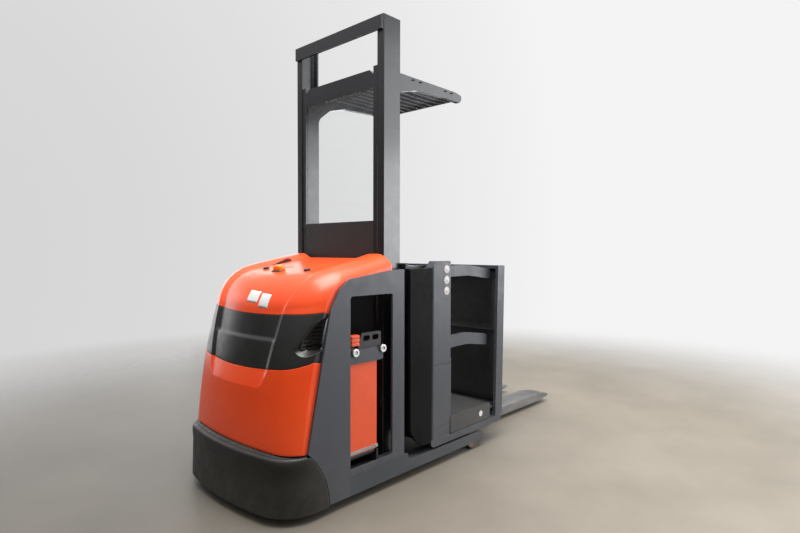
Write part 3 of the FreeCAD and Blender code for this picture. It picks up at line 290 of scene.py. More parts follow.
def finished(name, mesh, smooth_below=35.0, sheet=False):
    """An object of a bmesh, smooth but for edges sharper than an angle in degrees; a sheet looks to -X."""
    bmesh.ops.recalc_face_normals(mesh, faces=mesh.faces)
    if sheet:
        front = min(mesh.faces, key=lambda face: face.calc_center_median().x)
        if front.normal.x > 0:
            bmesh.ops.reverse_faces(mesh, faces=mesh.faces)
    data = bpy.data.meshes.new(name)
    mesh.to_mesh(data)
    mesh.free()
    data.shade_smooth()
    data.set_sharp_from_angle(angle=math.radians(smooth_below))
    made = bpy.data.objects.new(name, data)
    bpy.context.scene.collection.objects.link(made)
    return made


def modified(thing, kind, **settings):
    """Give a piece a modifier."""
    made = thing.modifiers.new(kind.lower(), kind)
    for name, value in settings.items():
        setattr(made, name, value)
    return made


def settle(thing, slot, body="chassis", stands_for=()):
    """Give a piece its finish, its body and the nodes that it stands for."""
    if not thing.data.materials:
        thing.data.materials.append(FINISHES[slot])
    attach(thing, body)
    if stands_for:
        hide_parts(*stands_for)
    return thing


def applied(thing):
    """The same object with its modifiers made part of its mesh."""
    graph = bpy.context.evaluated_depsgraph_get()
    made = bpy.data.meshes.new_from_object(thing.evaluated_get(graph))
    made.materials.clear()
    thing.modifiers.clear()
    thing.data = made
    return thing


def cut_away(thing, tool):
    """Cut the form of tool out of a piece, and remove the tool."""
    modified(thing, "BOOLEAN", operation="DIFFERENCE", object=tool, solver="MANIFOLD")
    applied(thing)
    bpy.data.objects.remove(tool)


def ringed(mesh, loops, caps=(False, False)):
    """Join closed loops of points in metres, one after another."""
    made = [[mesh.verts.new(point) for point in loop] for loop in loops]
    for low, high in zip(made, made[1:]):
        for index in range(len(low)):
            after = (index + 1) % len(low)
            mesh.faces.new((low[index], low[after], high[after], high[index]))
    if caps[0]:
        mesh.faces.new(list(reversed(made[0])))
    if caps[1]:
        mesh.faces.new(made[-1])


# Radius in mm that stands for the point on a turned piece's axis
LEAST_RADIUS = 0.05


def lathe(name, slot, profile, at, axis, body="chassis", steps=28):
    """A turned piece, closed at its ends: profile rows are (radius, distance along the axis) in mm."""
    axis = Vector(axis).normalized()
    side = axis.orthogonal().normalized()
    other = axis.cross(side)
    mesh = bmesh.new()
    loops = []
    for radius, along in profile:
        loop = []
        for step in range(steps):
            angle = 2 * math.pi * step / steps
            outward = (side * math.cos(angle) + other * math.sin(angle)) * max(radius, LEAST_RADIUS)
            loop.append(spot(*at) + (axis * along + outward) / 1000)
        loops.append(loop)
    ringed(mesh, loops, (True, True))
    return settle(finished(name, mesh), slot, body)


def block(name, slot, low, high, round_by=2.0, body="chassis", both_sides=False):
    """A box between two corners in mm with rounded edges, on one side of the truck or on both."""
    mesh = bmesh.new()
    for side in ((1, -1) if both_sides else (1,)):
        ring = [(low[0], low[1]), (high[0], low[1]), (high[0], high[1]), (low[0], high[1])]
        ringed(mesh, [[spot(x, side * y, z) for x, y in ring] for z in (low[2], high[2])], (True, True))
    piece = finished(name, mesh)
    modified(piece, "BEVEL", width=round_by / 1000, segments=3, limit_method="ANGLE")
    return settle(piece, slot, body)


# Profile of a screw head: radius as a share of the head's, distance in mm
BOLT_HEAD = [(1.45, 0), (1.45, 1.6), (1.05, 2.0), (1, 2.2), (1, 5.2), (0.86, 6.8), (0.5, 7.4), (0.46, 4.6),
             (0, 4.4)]


def bolt_head(name, slot, at, axis, radius=9.0, body="chassis"):
    """A domed screw head with a washer and a recess."""
    profile = [(share * radius, along) for share, along in BOLT_HEAD]
    return lathe(name, slot, profile, at, axis, body)


def stepped(name, slot, foot, half_x, half_y, profile, body="chassis"):
    """An upright rounded block: profile rows are (inset, height above the foot) in mm."""
    mesh = bmesh.new()
    loops = []
    for inset, rise in profile:
        radius = max(9.0 - inset, 1.0)
        loop = []
        for turn, (side_x, side_y) in enumerate(((1, 1), (-1, 1), (-1, -1), (1, -1))):
            for step in range(6):
                angle = math.pi / 2 * (turn + step / 5)
                loop.append(spot(foot[0] + side_x * (half_x - inset - radius) + radius * math.cos(angle),
                                 foot[1] + side_y * (half_y - inset - radius) + radius * math.sin(angle),
                                 foot[2] + rise))
        loops.append(loop)
    ringed(mesh, loops, (True, True))
    return settle(finished(name, mesh), slot, body)


# Hood: its numbers are millimetres in the mast's frame

# Heights of its foot and of the turn into the lid, and its rear
HOOD_FOOT, HOOD_TURN, HOOD_REAR = 334.0, 998.0, -20.0
# The front's profile: its nose at the foot, its lean and the growth of that lean
HOOD_NOSE, HOOD_LEAN, HOOD_CURL = -737.0, 0.0413, 0.00011
# Radii in plan of the bowed front and of its corners, at the foot and at the turn
HOOD_BOWS, HOOD_CORNERS = (2180.0, 904.0), (168.0, 198.0)
# Half width of the creased sides, and how far the corners' arcs would run on beyond it
HOOD_HALF, HOOD_SPILL = 485.0, 20.0
# Radii of the turn into the lid, at the front and at the sides, and the lid's rise in radians
ROUND_FRONT, ROUND_SIDE, LID_SLOPE = 247.0, 135.0, 0.2013
# Share at which the creased side passes into the lid's rounded side
CREASE_END = 1.351
# Seams as planes: x and height of a point, rise per mm rearward
SEAM_LOW = (-704.0, 712.0, 0.36)
SEAM_TOP = (-650.0, 984.0, 0.11)
# Their gap, and the depth of the black strip behind them and its reach to each side
SEAM_GAP, SEAM_DEPTH, SEAM_REACH = 2.0, 7.5, 12.0
# Wall of the mouldings, in metres
HOOD_WALL = 0.006
# Half widths of the valley's floor and of its lips, by share: 0 foot, 1 turn, 2 start of the lid, 3 rear
VALLEY_FLOOR = [(0.0, 200), (0.446, 235), (0.586, 247), (0.79, 266), (0.976, 282), (1.26, 306),
                (1.6, 316), (2.0, 304), (2.4, 280), (3.0, 228)]
VALLEY_LIP = [(0.0, 210), (0.446, 256), (0.586, 282), (0.79, 304), (0.976, 319), (1.26, 341),
              (1.6, 360), (2.0, 366), (2.4, 352), (3.0, 312)]
VALLEY_SOFT = [(0.0, 0.16), (0.976, 0.16), (1.5, 0.42), (2.0, 0.5), (3.0, 0.5)]
# Heights of the step across the band, where the valley deepens
LEDGE = (853, 858, 871, 876)
# Depth of the valley by height, and on the lid by share
VALLEY_DEPTH = [(710, 13.0), *zip(LEDGE, (13.0, 14.2, 21.0, 22.0)), (1000, 21.5), (1120, 20.0),
                (1190, 18.0)]
VALLEY_DEPTH_LID = [(2.0, 18.0), (3.0, 27.0)]
# The ramp at the valley's foot: its heights, the round of its corners and its half width
RAMP_FOOT, RAMP_TOP, RAMP_ROUND, RAMP_HALF = 622.0, 710.0, 20.0, 238.0


def table_at(table, value):
    """Smooth curve through the rows (value, result) of a table."""
    if value <= table[0][0]:
        return table[0][1]
    for index in range(len(table) - 1):
        (a, low), (b, high) = table[index], table[index + 1]
        if value <= b:
            before = table[max(index - 1, 0)]
            after = table[min(index + 2, len(table) - 1)]
            tilt_a = (high - before[1]) / (b - before[0])
            tilt_b = (after[1] - low) / (after[0] - a)
            t, run = (value - a) / (b - a), b - a
            return ((2 * t ** 3 - 3 * t ** 2 + 1) * low + (t ** 3 - 2 * t ** 2 + t) * run * tilt_a
                    + (3 * t ** 2 - 2 * t ** 3) * high + (t ** 3 - t ** 2) * run * tilt_b)
    return table[-1][1]


def straight_at(table, value):
    """The table's rows joined by straight lines."""
    if value <= table[0][0]:
        return table[0][1]
    for (a, low), (b, high) in zip(table, table[1:]):
        if value <= b:
            return low + (high - low) * (value - a) / (b - a)
    return table[-1][1]


def eased(t, soft):
    """0 to 1 along a straight ramp whose two ends are rounded over the share soft."""
    t = min(max(t, 0.0), 1.0)
    if t < soft:
        return t * t / (2 * soft * (1 - soft))
    if t > 1 - soft:
        return 1 - (1 - t) ** 2 / (2 * soft * (1 - soft))
    return (t - soft / 2) / (1 - soft)


def nose_at(z):
    """The foremost x of the hood at a height."""
    rise = z - HOOD_FOOT
    return HOOD_NOSE + HOOD_LEAN * rise + HOOD_CURL * rise * rise


# What follows from these numbers: where the front passes into the lid, and how the sides' tops rise
TURN_X = nose_at(HOOD_TURN)
TURN_LEAN = math.atan(HOOD_LEAN + 2 * HOOD_CURL * (HOOD_TURN - HOOD_FOOT))
LID_LEAN = math.pi / 2 - LID_SLOPE
LID_X = TURN_X + ROUND_FRONT * (math.cos(TURN_LEAN) - math.cos(LID_LEAN))
LID_Z = HOOD_TURN + ROUND_FRONT * (math.sin(LID_LEAN) - math.sin(TURN_LEAN))
LID_TOP = LID_Z + math.tan(LID_SLOPE) * (HOOD_REAR - LID_X)
SIDE_TURN = LID_TOP - ROUND_SIDE
TOP_TILT = (SIDE_TURN - HOOD_TURN) / (HOOD_REAR - TURN_X)


def hood_section(share):
    """Nose x and z, half width, bow, corner radius and rearward rise of the hood's section at a share."""
    if share <= 1:
        z = HOOD_FOOT + (HOOD_TURN - HOOD_FOOT) * share
        bow, corner = (low + (high - low) * share for low, high in (HOOD_BOWS, HOOD_CORNERS))
        return nose_at(z), z, HOOD_HALF + HOOD_SPILL, bow, corner, TOP_TILT * share ** 3
    turn = share - 1
    lean = TURN_LEAN + (LID_LEAN - TURN_LEAN) * turn
    side = math.pi / 2 * turn
    inset = ROUND_SIDE * (1 - math.cos(side))
    x = TURN_X + ROUND_FRONT * (math.cos(TURN_LEAN) - math.cos(lean))
    z = HOOD_TURN + ROUND_FRONT * (math.sin(lean) - math.sin(TURN_LEAN))
    high = SIDE_TURN + ROUND_SIDE * math.sin(side)
    return (x, z, HOOD_HALF + HOOD_SPILL - inset, HOOD_BOWS[1] - (x - TURN_X), HOOD_CORNERS[1] - inset,
            (high - z) / (HOOD_REAR - x))


def hood_end(share):
    """Largest y of the rounded front: the crease, or the end of the corner above it."""
    return min(HOOD_HALF, hood_section(min(share, 2.0))[2])


def hood_base(y, share):
    """(x, z) of the hood's form, without the valley, at y and a share up to 2."""
    nose, low, half, bow, corner, tilt = hood_section(share)
    bow_x, corner_y = nose + bow, half - corner
    corner_x = bow_x - math.sqrt((bow - corner) ** 2 - corner_y ** 2)
    y = abs(y)
    if y <= bow * corner_y / (bow - corner):
        x = bow_x - math.sqrt(bow ** 2 - y ** 2)
    else:
        x = corner_x - math.sqrt(max(0.0, corner ** 2 - (y - corner_y) ** 2))
    return x, low + tilt * (x - nose)


def base_point(y, share):
    """The form without the valley at a share up to 3, in the mast's frame."""
    if share <= 2:
        x, z = hood_base(y, share)
        return Vector((x, y, z))
    start, _ = hood_base(min(abs(y), hood_end(2.0)), 2.0)
    x = start + (HOOD_REAR - start) * (share - 2)
    return Vector((x, y, LID_Z + math.tan(LID_SLOPE) * (x - LID_X)))


def base_normal(y, share):
    """Outward normal of the form without the valley."""
    if share > 2:
        return Vector((-math.sin(LID_SLOPE), 0.0, math.cos(LID_SLOPE)))
    end = hood_end(share)
    left, right = max(y - 1.5, -end), min(y + 1.5, end)
    across = base_point(right, share) - base_point(left, share)
    along = base_point(y, min(share + 0.002, 2.0)) - base_point(y, max(share - 0.002, 0.0))
    return along.cross(across).normalized()


def valley_share(y, share):
    """1 on the valley's floor, 0 outside its lips."""
    floor, lip = table_at(VALLEY_FLOOR, share), table_at(VALLEY_LIP, share)
    return 1 - eased((abs(y) - floor) / (lip - floor), straight_at(VALLEY_SOFT, share))


def ramp_foot(y):
    """Height of the valley's foot, rounded up towards its corners."""
    over = abs(y) - (RAMP_HALF - RAMP_ROUND)
    if over <= 0:
        return RAMP_FOOT
    if over < RAMP_ROUND:
        return RAMP_FOOT + RAMP_ROUND - math.sqrt(RAMP_ROUND ** 2 - over ** 2)
    return RAMP_FOOT + RAMP_ROUND


def hood_point(y, share):
    """A point of the finished surface and its outward normal, in the mast's frame."""
    base, normal = base_point(y, share), base_normal(y, share)
    if share > 2:
        depth = straight_at(VALLEY_DEPTH_LID, share)
    elif base.z > RAMP_TOP:
        depth = straight_at(VALLEY_DEPTH, base.z)
    else:
        depth = VALLEY_DEPTH[0][1] * min(max((base.z - ramp_foot(y)) / (RAMP_TOP - ramp_foot(y)), 0.0), 1.0)
    return base - normal * depth * valley_share(y, share), normal


# Columns of the hood's grid: 0 to 1 on the valley's floor, 1 to 2 on its slope, 2 to 3 out to the crease
COLUMNS = [i / 12 for i in range(12)] + [0.985]
COLUMNS += [1 + t for t in (0, 0.08, 0.2, 0.35, 0.5, 0.65, 0.8, 0.92, 1)]
COLUMNS += [2.02] + [2 + i / 26 for i in range(1, 27)]
COLUMNS = [-c for c in reversed(COLUMNS[1:])] + COLUMNS


def column_y(column, share):
    """The y of a column of the grid at a share."""
    side, column = math.copysign(1.0, column), abs(column)
    floor, lip, end = table_at(VALLEY_FLOOR, share), table_at(VALLEY_LIP, share), hood_end(share)
    if column <= 1:
        y = floor * column
    elif column <= 2:
        y = floor + (lip - floor) * (column - 1)
    else:
        y = lip + (end - lip) * math.sin((column - 2) * math.pi / 2)
    return side * y


def share_where(y_at, height):
    """Share at which a line over the hood, its y given by share, crosses a height given by x and y."""
    low, high = 0.0, 2.0
    for _ in range(26):
        middle = (low + high) / 2
        y = y_at(middle)
        x, z = hood_base(y, middle)
        if z < height(x, y):
            low = middle
        else:
            high = middle
    return low


def column_share(column, height):
    """Share at which a column of the grid crosses a height given by x and y."""
    return share_where(lambda share: column_y(column, share), height)


def tilted(plane, shift):
    """The height of a seam's plane, raised by a shift, as a function of x and y."""
    return lambda x, y: plane[1] + plane[2] * (x - plane[0]) + shift


def level(z):
    """The same height everywhere, as a function of x and y."""
    return lambda x, y: z


def spread(marks):
    """Numbers through marks [(number, steps to it), ...]."""
    values = [marks[0][0]]
    for value, steps in marks[1:]:
        start = values[-1]
        values += [start + (value - start) * (i + 1) / steps for i in range(steps)]
    return values


def weave(mesh, rows):
    """Add a grid of quads through rows of points in the mast's frame."""
    made = [[mesh.verts.new(spot(*point)) for point in row] for row in rows]
    for low, high in zip(made, made[1:]):
        for index in range(len(low) - 1):
            mesh.faces.new((low[index], low[index + 1], high[index + 1], high[index]))


def strip(edge, towards, width):
    """Rows of a flat flange beside an edge line in a plane of constant y."""
    rows = [edge]
    for share in (0.5, 1.0):
        row = []
        for index, point in enumerate(edge):
            along = edge[min(index + 1, len(edge) - 1)] - edge[max(index - 1, 0)]
            along.y = 0
            across = Vector((along.z, 0, -along.x)).normalized()
            if across.dot(towards) < 0:
                across = -across
            row.append(point + across * width * share)
        rows.append(row)
    return rows


def moulding(name, marks, steps, lid=False, flange=55.0):
    """A hood moulding between seams: marks are the heights its rows follow, with the steps between them.

    The one with the lid has no mark at its upper end: it runs on over the turn to the rear."""
    mesh = bmesh.new()
    rows = []
    turn = [1.0] if lid else []
    shares = [[column_share(column, mark) for mark in marks] + turn for column in COLUMNS]
    for index, count in enumerate(steps):
        closing = index == len(steps) - 1 and not lid
        for step in range(count + 1 if closing else count):
            row = []
            for column, levels in zip(COLUMNS, shares):
                share = levels[index] + (levels[index + 1] - levels[index]) * (step / count)
                row.append(hood_point(column_y(column, share), share)[0])
            rows.append(row)
    sides = {side: [row[index] for row in rows] for side, index in ((-1, 0), (1, -1))}
    if lid:
        above = spread([(1.0, 0), (CREASE_END, 12), (2.0, 22), (3.0, 26)])
        for share in above:
            rows.append([hood_point(column_y(column, share), share)[0] for column in COLUMNS])
        flat = [share - 2 for share in above if share >= 2]
        rounded = [share for share in above if CREASE_END - 1e-6 <= share <= 2]
        for side, index in ((-1, 0), (1, -1)):
            grid = []
            for share in rounded:
                end = hood_end(share)
                x0, z0 = hood_base(end, share)
                length, tilt = HOOD_REAR - x0, hood_section(share)[5]
                grid.append([Vector((x0 + length * t, side * end, z0 + tilt * length * t)) for t in flat])
            weave(mesh, grid)
            edge = [row[index] for row in rows[-len(above):]]
            sides[side] += [point for point in edge if abs(point.y) > HOOD_HALF - 0.01] + grid[0][1:]
    weave(mesh, rows)
    for side, edge in sides.items():
        weave(mesh, strip(edge, Vector((1, 0, -1)), flange))
    bmesh.ops.remove_doubles(mesh, verts=mesh.verts, dist=0.00005)
    return finished(name, mesh, sheet=True)


# Air intake on the right: points measured along its outer lip and along the edge of its mouth, with
# the straight stretch behind the side panel's edge, and the way into it
SCOOP_LIP = [(-458, -485, 978), (-509, -481, 970), (-542, -463, 947), (-568, -446, 913),
             (-591, -432, 872), (-610, -418, 837), (-618, -412, 817), (-612, -427, 800),
             (-599, -445, 792), (-579, -464, 793), (-556, -478, 801), (-527, -484, 811),
             (-495, -485, 821), (-486, -485, 862), (-477, -485, 902), (-467, -485, 942)]
SCOOP_MOUTH = [(-458, -480, 973), (-494, -474, 957), (-516, -457, 931), (-535, -442, 901),
               (-547, -430, 870), (-554, -423, 846), (-555, -424, 831), (-551, -432, 821),
               (-541, -444, 817), (-528, -454, 816), (-515, -461, 815), (-503, -467, 816),
               (-492, -474, 823), (-484, -474, 862), (-475, -474, 902), (-465, -476, 942)]
SCOOP_IN = Vector((0.45, 0.89, 0.0))
# How far the funnel runs on straight behind its mouth, and how far its sides sink on the way there
SCOOP_RUN, SCOOP_SINK = 38, 5.0


def rounded_loop(points, steps=4):
    """A closed smooth curve through points."""
    points = [Vector(point) for point in points]
    loop = []
    for index in range(len(points)):
        a, b, c, d = (points[(index + k) % len(points)] for k in (-1, 0, 1, 2))
        for step in range(steps):
            t = step / steps
            loop.append(0.5 * (2 * b + (c - a) * t + (2 * a - 5 * b + 4 * c - d) * t * t
                               + (3 * b - a - 3 * c + d) * t ** 3))
    return loop


def scoop_loops(side):
    """Loops of one intake's funnel from its lip over its mouth to its inner end."""
    lip, mouth = rounded_loop(SCOOP_LIP), rounded_loop(SCOOP_MOUTH)
    loops = [[point + SCOOP_IN * 0.4 for point in lip]]
    for share in (0.12, 0.28, 0.46, 0.64, 0.8, 0.92, 1.0):
        sink = SCOOP_IN * (SCOOP_SINK * share * (1.0 - share))
        loops.append([a + (b - a) * share - sink for a, b in zip(lip, mouth)])
    end = loops[-1]
    loops += [[point + SCOOP_IN * far for point in end] for far in (2, SCOOP_RUN)]
    return [[spot(point.x, side * -point.y, point.z) for point in loop] for loop in loops]


def scoop_tool(side):
    """The form that each intake cuts out of the band."""
    loops = []
    for far in (-40, 40):
        points = [point + SCOOP_IN * far for point in rounded_loop(SCOOP_LIP)]
        loops.append([spot(point.x, side * -point.y, point.z) for point in points])
    mesh = bmesh.new()
    ringed(mesh, loops, (True, True))
    bmesh.ops.triangulate(mesh, faces=[face for face in mesh.faces if len(face.verts) > 4])
    return finished("scoop_tool", mesh)


def patch(name, slot, y_range, z_range, turn, lift=0.7, steps=6):
    """A thin blank label on the hood's front, between two y and two heights at its middle."""
    mesh = bmesh.new()
    rows = []
    for v in range(steps + 1):
        row = []
        for u in range(steps + 1):
            y = y_range[0] + (y_range[1] - y_range[0]) * u / steps
            z = z_range[0] + (z_range[1] - z_range[0]) * v / steps
            z += turn * (y - sum(y_range) / 2)
            point, normal = hood_point(y, share_where(lambda share: y, level(z)))
            row.append(point + normal * lift)
        rows.append(row)
    weave(mesh, rows)
    piece = finished(name, mesh, sheet=True)
    modified(piece, "SOLIDIFY", thickness=0.0006, offset=-1.0)
    return settle(piece, slot)


# Bumper: rows (height, inset) of its section, and the inset at which its plan begins to shrink
BUMPER_ROWS = [(40, 11), (43, 7.5), (48, 6.2), (120, 8.5), (200, 11), (235, 12.2), (258, 13.0),
               (273, 13.6), (288, 14.1), (300, 14.5), (309, 15.6), (314.5, 17.6), (318.5, 22), (321, 28),
               (322.3, 33), (322.3, 35), (320.6, 36), (320.6, 38), (322.8, 39), (325, 42), (328.5, 49),
               (331.5, 58)]
BUMPER_FLAT = 16.0
# Its nose, half width, and radii in plan of its bow and corners, at no inset
BUMPER_NOSE, BUMPER_HALF, BUMPER_BOW, BUMPER_CORNER = -795.0, 500.0, 1750.0, 198.0
# Its rear ends follow a circle round this x and height
ARCH_X, ARCH_Z, ARCH_RADIUS = -862.0, 40.0, 393.0
# Fuller corners as room for the frame inside: the height, its spread, and what the radius loses
ROOM_Z, ROOM_SPREAD, ROOM_DEPTH = 288.0, 32.0, 30.0
# Steps along one half of a row, and along its bow and corner while it is laid out
HALF_STEPS, BOW_STEPS, CORNER_STEPS = 44, 30, 40


def evenly(line, count):
    """Points that part a line of points into equal lengths."""
    lengths = [0.0]
    for a, b in zip(line, line[1:]):
        lengths.append(lengths[-1] + (b - a).length)
    points, index = [], 0
    for i in range(count + 1):
        want = lengths[-1] * i / count
        while index < len(line) - 2 and lengths[index + 1] < want:
            index += 1
        run = lengths[index + 1] - lengths[index]
        t = (want - lengths[index]) / run if run > 0 else 0.0
        points.append(line[index] + (line[index + 1] - line[index]) * min(t, 1.0))
    return points


def bumper_row(z, inset):
    """Plan of the bumper at a height, from the right rear end round the front, evenly stepped."""
    over = max(0.0, inset - BUMPER_FLAT)
    fuller = ROOM_DEPTH * math.exp(-((z - ROOM_Z) / ROOM_SPREAD) ** 2)
    nose, half = BUMPER_NOSE + inset, BUMPER_HALF - 0.34 * over
    bow, corner = BUMPER_BOW, BUMPER_CORNER - 0.5 * over - fuller
    end = ARCH_X + math.sqrt(ARCH_RADIUS ** 2 - (z - ARCH_Z) ** 2)
    bow_x, corner_y = nose + bow, half - corner
    corner_x = bow_x - math.sqrt((bow - corner) ** 2 - corner_y ** 2)
    turn = math.atan2(corner_y, bow_x - corner_x)
    line = []
    for i in range(BOW_STEPS + 1):
        angle = turn * i / BOW_STEPS
        line.append(Vector((bow_x - bow * math.cos(angle), bow * math.sin(angle), z)))
    for i in range(1, CORNER_STEPS + 1):
        angle = turn + (math.pi / 2 - turn) * i / CORNER_STEPS
        point = Vector((corner_x - corner * math.cos(angle), corner_y + corner * math.sin(angle), z))
        if point.x >= end:
            break
        line.append(point)
    line.append(Vector((end, line[-1].y if line[-1].y < half - 0.5 else half, z)))
    half_row = evenly(line, HALF_STEPS)
    return [Vector((p.x, -p.y, p.z)) for p in reversed(half_row[1:])] + half_row


# Hood, bumper and small pieces

def make_covers():
    """The hood's three mouldings, smooth where the frame's are faceted."""
    foot = [level(HOOD_FOOT), lambda x, y: ramp_foot(y) - 3, lambda x, y: ramp_foot(y) + 3,
            tilted(SEAM_LOW, -SEAM_GAP / 2)]
    band = [tilted(SEAM_LOW, SEAM_GAP / 2), *map(level, LEDGE), tilted(SEAM_TOP, -SEAM_GAP / 2)]
    top = [tilted(SEAM_TOP, SEAM_GAP / 2)]
    for part, marks, steps, lid, slot_name in (
            ("lower", foot, [24, 2, 16], False, "hood_orange"),
            ("band", band, [22, 1, 3, 1, 18], False, "band_black"),
            ("upper", top, [6], True, "hood_orange")):
        cover = moulding("cover_" + part, marks, steps, lid)
        modified(cover, "SOLIDIFY", thickness=HOOD_WALL, offset=-1.0)
        modified(cover, "BEVEL", width=0.0012, segments=2, limit_method="ANGLE",
                 angle_limit=math.radians(24))
        if part == "band":
            for side in (-1, 1):
                cut_away(cover, scoop_tool(side))
        if part == "upper":
            mesh = bmesh.new()
            ringed(mesh, [[spot(x, y, z) for x, y in slot_ring(0.0)] for z in SLOT_HEIGHTS], (True, True))
            cut_away(cover, finished("grip_tool", mesh))
        cover.data.set_sharp_from_angle(angle=math.radians(35))
        settle(cover, slot_name, "chassis", ["hood_" + part])


def make_seam_backing():
    """Black strips behind the two open seams."""
    mesh = bmesh.new()
    for seam in (SEAM_LOW, SEAM_TOP):
        rows = []
        for share_of_reach in (-1.0, -0.5, 0.0, 0.5, 1.0):
            row = []
            for column in COLUMNS[4:-4:3]:
                share = column_share(column, tilted(seam, SEAM_REACH * share_of_reach))
                point, normal = hood_point(column_y(column, share), share)
                row.append(point - normal * SEAM_DEPTH)
            rows.append(row)
        weave(mesh, rows)
    backing = finished("seam_backing", mesh)
    modified(backing, "SOLIDIFY", thickness=0.003, offset=0.0)
    settle(backing, "frame_black")


def make_intakes():
    """The funnels of the two air intakes."""
    mesh = bmesh.new()
    for side in (-1, 1):
        ringed(mesh, scoop_loops(side))
    funnels = finished("intake_funnels", mesh, 50.0)
    modified(funnels, "SOLIDIFY", thickness=0.002, offset=-1.0)
    settle(funnels, "band_black")


# Hand hole in the lid: centres of its two round ends in plan, their radius, and the heights of the cut
SLOT_ENDS, SLOT_RADIUS, SLOT_HEIGHTS = ((-256.0, 273.0), (-154.0, 287.0)), 22.0, (1120, 1330)


def slot_ring(inset):
    """Outline of the hand hole in plan, as points (x, y) in mm."""
    radius = SLOT_RADIUS - inset
    ring = []
    for (x, y), start in zip(SLOT_ENDS, (math.pi / 2, -math.pi / 2)):
        for step in range(11):
            angle = start + math.pi * step / 10
            ring.append((x + radius * math.cos(angle), y + radius * math.sin(angle)))
    return ring


def lid_height(x, y):
    """Height of the lid's surface in mm, with the valley in it, at a place in plan."""
    start = hood_base(y, 2.0)[0]
    return hood_point(y, 2.0 + (x - start) / (HOOD_REAR - start))[0].z


def make_hand_slot():
    """The cup below the hand hole."""
    mesh = bmesh.new()
    top_z = [lid_height(x, y) for x, y in slot_ring(0.0)]
    loops = [[spot(x, y, z - below) for (x, y), z in zip(slot_ring(inset), top_z)]
             for below, inset in ((1.5, 0.6), (34, 1.0), (40, 5.0))]
    ringed(mesh, loops, (False, True))
    cup = finished("grip_cup", mesh)
    modified(cup, "SOLIDIFY", thickness=0.002, offset=1.0)
    # Painted shade: the cup's dark red stands for the hood's orange in the shade of the hollow
    cup.data.materials.append(FINISHES["painted_shade_red"])
    settle(cup, "hood_orange")


# Profiles of turned and stepped pieces, as (radius or inset, distance) in mm
COVER_SCREW = [(20, -3), (20, 1.5), (18, 2.2), (17, 9.5), (14.5, 11.8), (8, 12.4), (6.5, 10.4), (0, 10.4)]
LOCK_RING = [(9.5, -3), (9.5, 0.4), (11, 1.2), (18.5, 1.2), (20.8, 0.2), (20.8, -7)]
PLUG = [(0, 0), (0, 12), (3, 14), (3, 19), (0, 21), (0, 33), (3, 35), (3, 40), (0, 42), (0, 50), (4, 54),
        (12, 56)]
POST_DISC = [(25, 0), (25, 0.5), (22.5, 0.9), (22, 0.5), (9, 0.5), (8, 0.9), (0, 0.9)]
STEP_DISC = [(19, 0), (19, 0.7), (13, 0.9), (12.5, 0.5), (0, 0.5)]
MARKER_LENS = [(0, 0), (0, 11), (2, 12), (2, 14), (0, 15), (0, 26), (2, 32), (7, 36), (14, 38)]
MARKER_BASE = [(0, 0), (0, 8), (1.5, 10), (4, 11), (5, 14)]
MARKER_STUB = [(1.6, 0), (1.6, 52), (0.4, 54)]


def make_hood_marks():
    """Two blank labels on the front, and the lid's screws."""
    patch("hood_label_left", "pale_plastic", (-103, -11), (1041, 1103), turn=0.05)
    patch("hood_label_right", "pale_plastic", (-190, -120), (1016, 1091), turn=0.10)
    for index, y in enumerate((-196, 196)):
        point, normal = hood_point(y, 2.15)
        lathe("cover_screw_%d" % (index + 1), "frame_black", COVER_SCREW, point, normal)


def make_bumper():
    """The bumper's moulding."""
    mesh = bmesh.new()
    weave(mesh, [bumper_row(z, inset) for z, inset in BUMPER_ROWS])
    bumper = finished("bumper_moulding", mesh, 60.0, sheet=True)
    modified(bumper, "SOLIDIFY", thickness=0.008, offset=-1.0)
    modified(bumper, "BEVEL", width=0.0015, segments=2, limit_method="ANGLE",
             angle_limit=math.radians(50))
    settle(bumper, "bumper_black", "chassis", ["bumper"])


def make_battery_details():
    """Rings round the battery locks, and the plug beside the battery."""
    lock_face = 1000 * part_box("battery_brackets")[1][1]
    for index, x in enumerate((-289.0, -91.0)):
        for side, face in SIDES:
            lathe("lock_ring_%s_%d" % (face, index + 1), "pale_plastic", LOCK_RING,
                  (x, side * lock_face, 777), (0, side, 0))
    stepped("battery_plug", "battery_orange", (-276, -459, 810), 31, 19, PLUG)


def make_post_details():
    """Discs, strips and joint lines on the cabin's posts."""
    for index, z in enumerate((1192, 1126, 1060)):
        for side, face in SIDES:
            lathe("post_disc_%s_%d" % (face, index + 1), "disc_grey", POST_DISC,
                  (450, side * 500.4, z), (0, side, 0), "cabin")
    block("post_strips", "band_black", (420, -500.6, 1022), (486, -498, 1232), 0.4, "cabin", True)
    block("post_joints", "frame_black", (317, -500.3, 614.5), (488, -497, 619.5), 0.4, "cabin", True)


def make_marker_lamp():
    """The amber lamp on the lid, with its base and a short stub beside it."""
    lens = stepped("marker_lens", "amber", (-406, 17, 1185), 21, 36, MARKER_LENS)
    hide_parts("marker_lamp")
    stepped("marker_base", "frame_black", (-406, 17, 1178), 27, 43, MARKER_BASE)
    lathe("marker_stub", "frame_black", MARKER_STUB, (-394, -12, 1209), (32, -30, 2), steps=10)


def make_wear_strips():
    """Steel strips along the battery's lower edges."""
    low, high = (1000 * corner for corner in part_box("battery"))
    front, rear = low.x - 1000 * MAST_AT + 8, high.x - 1000 * MAST_AT - 8
    block("battery_wear_strips", "steel", (front, low.y - 0.5, low.z + 3), (rear, low.y + 4, low.z + 20),
          0.4, "chassis", True)


# Cabin's rear wall: the x and height of its front face's top, and how far it leans over its height
WALL_X, WALL_TOP, WALL_SHIFT, WALL_HEIGHT = 1083.0, 1203.0, 21.0, 1033.0
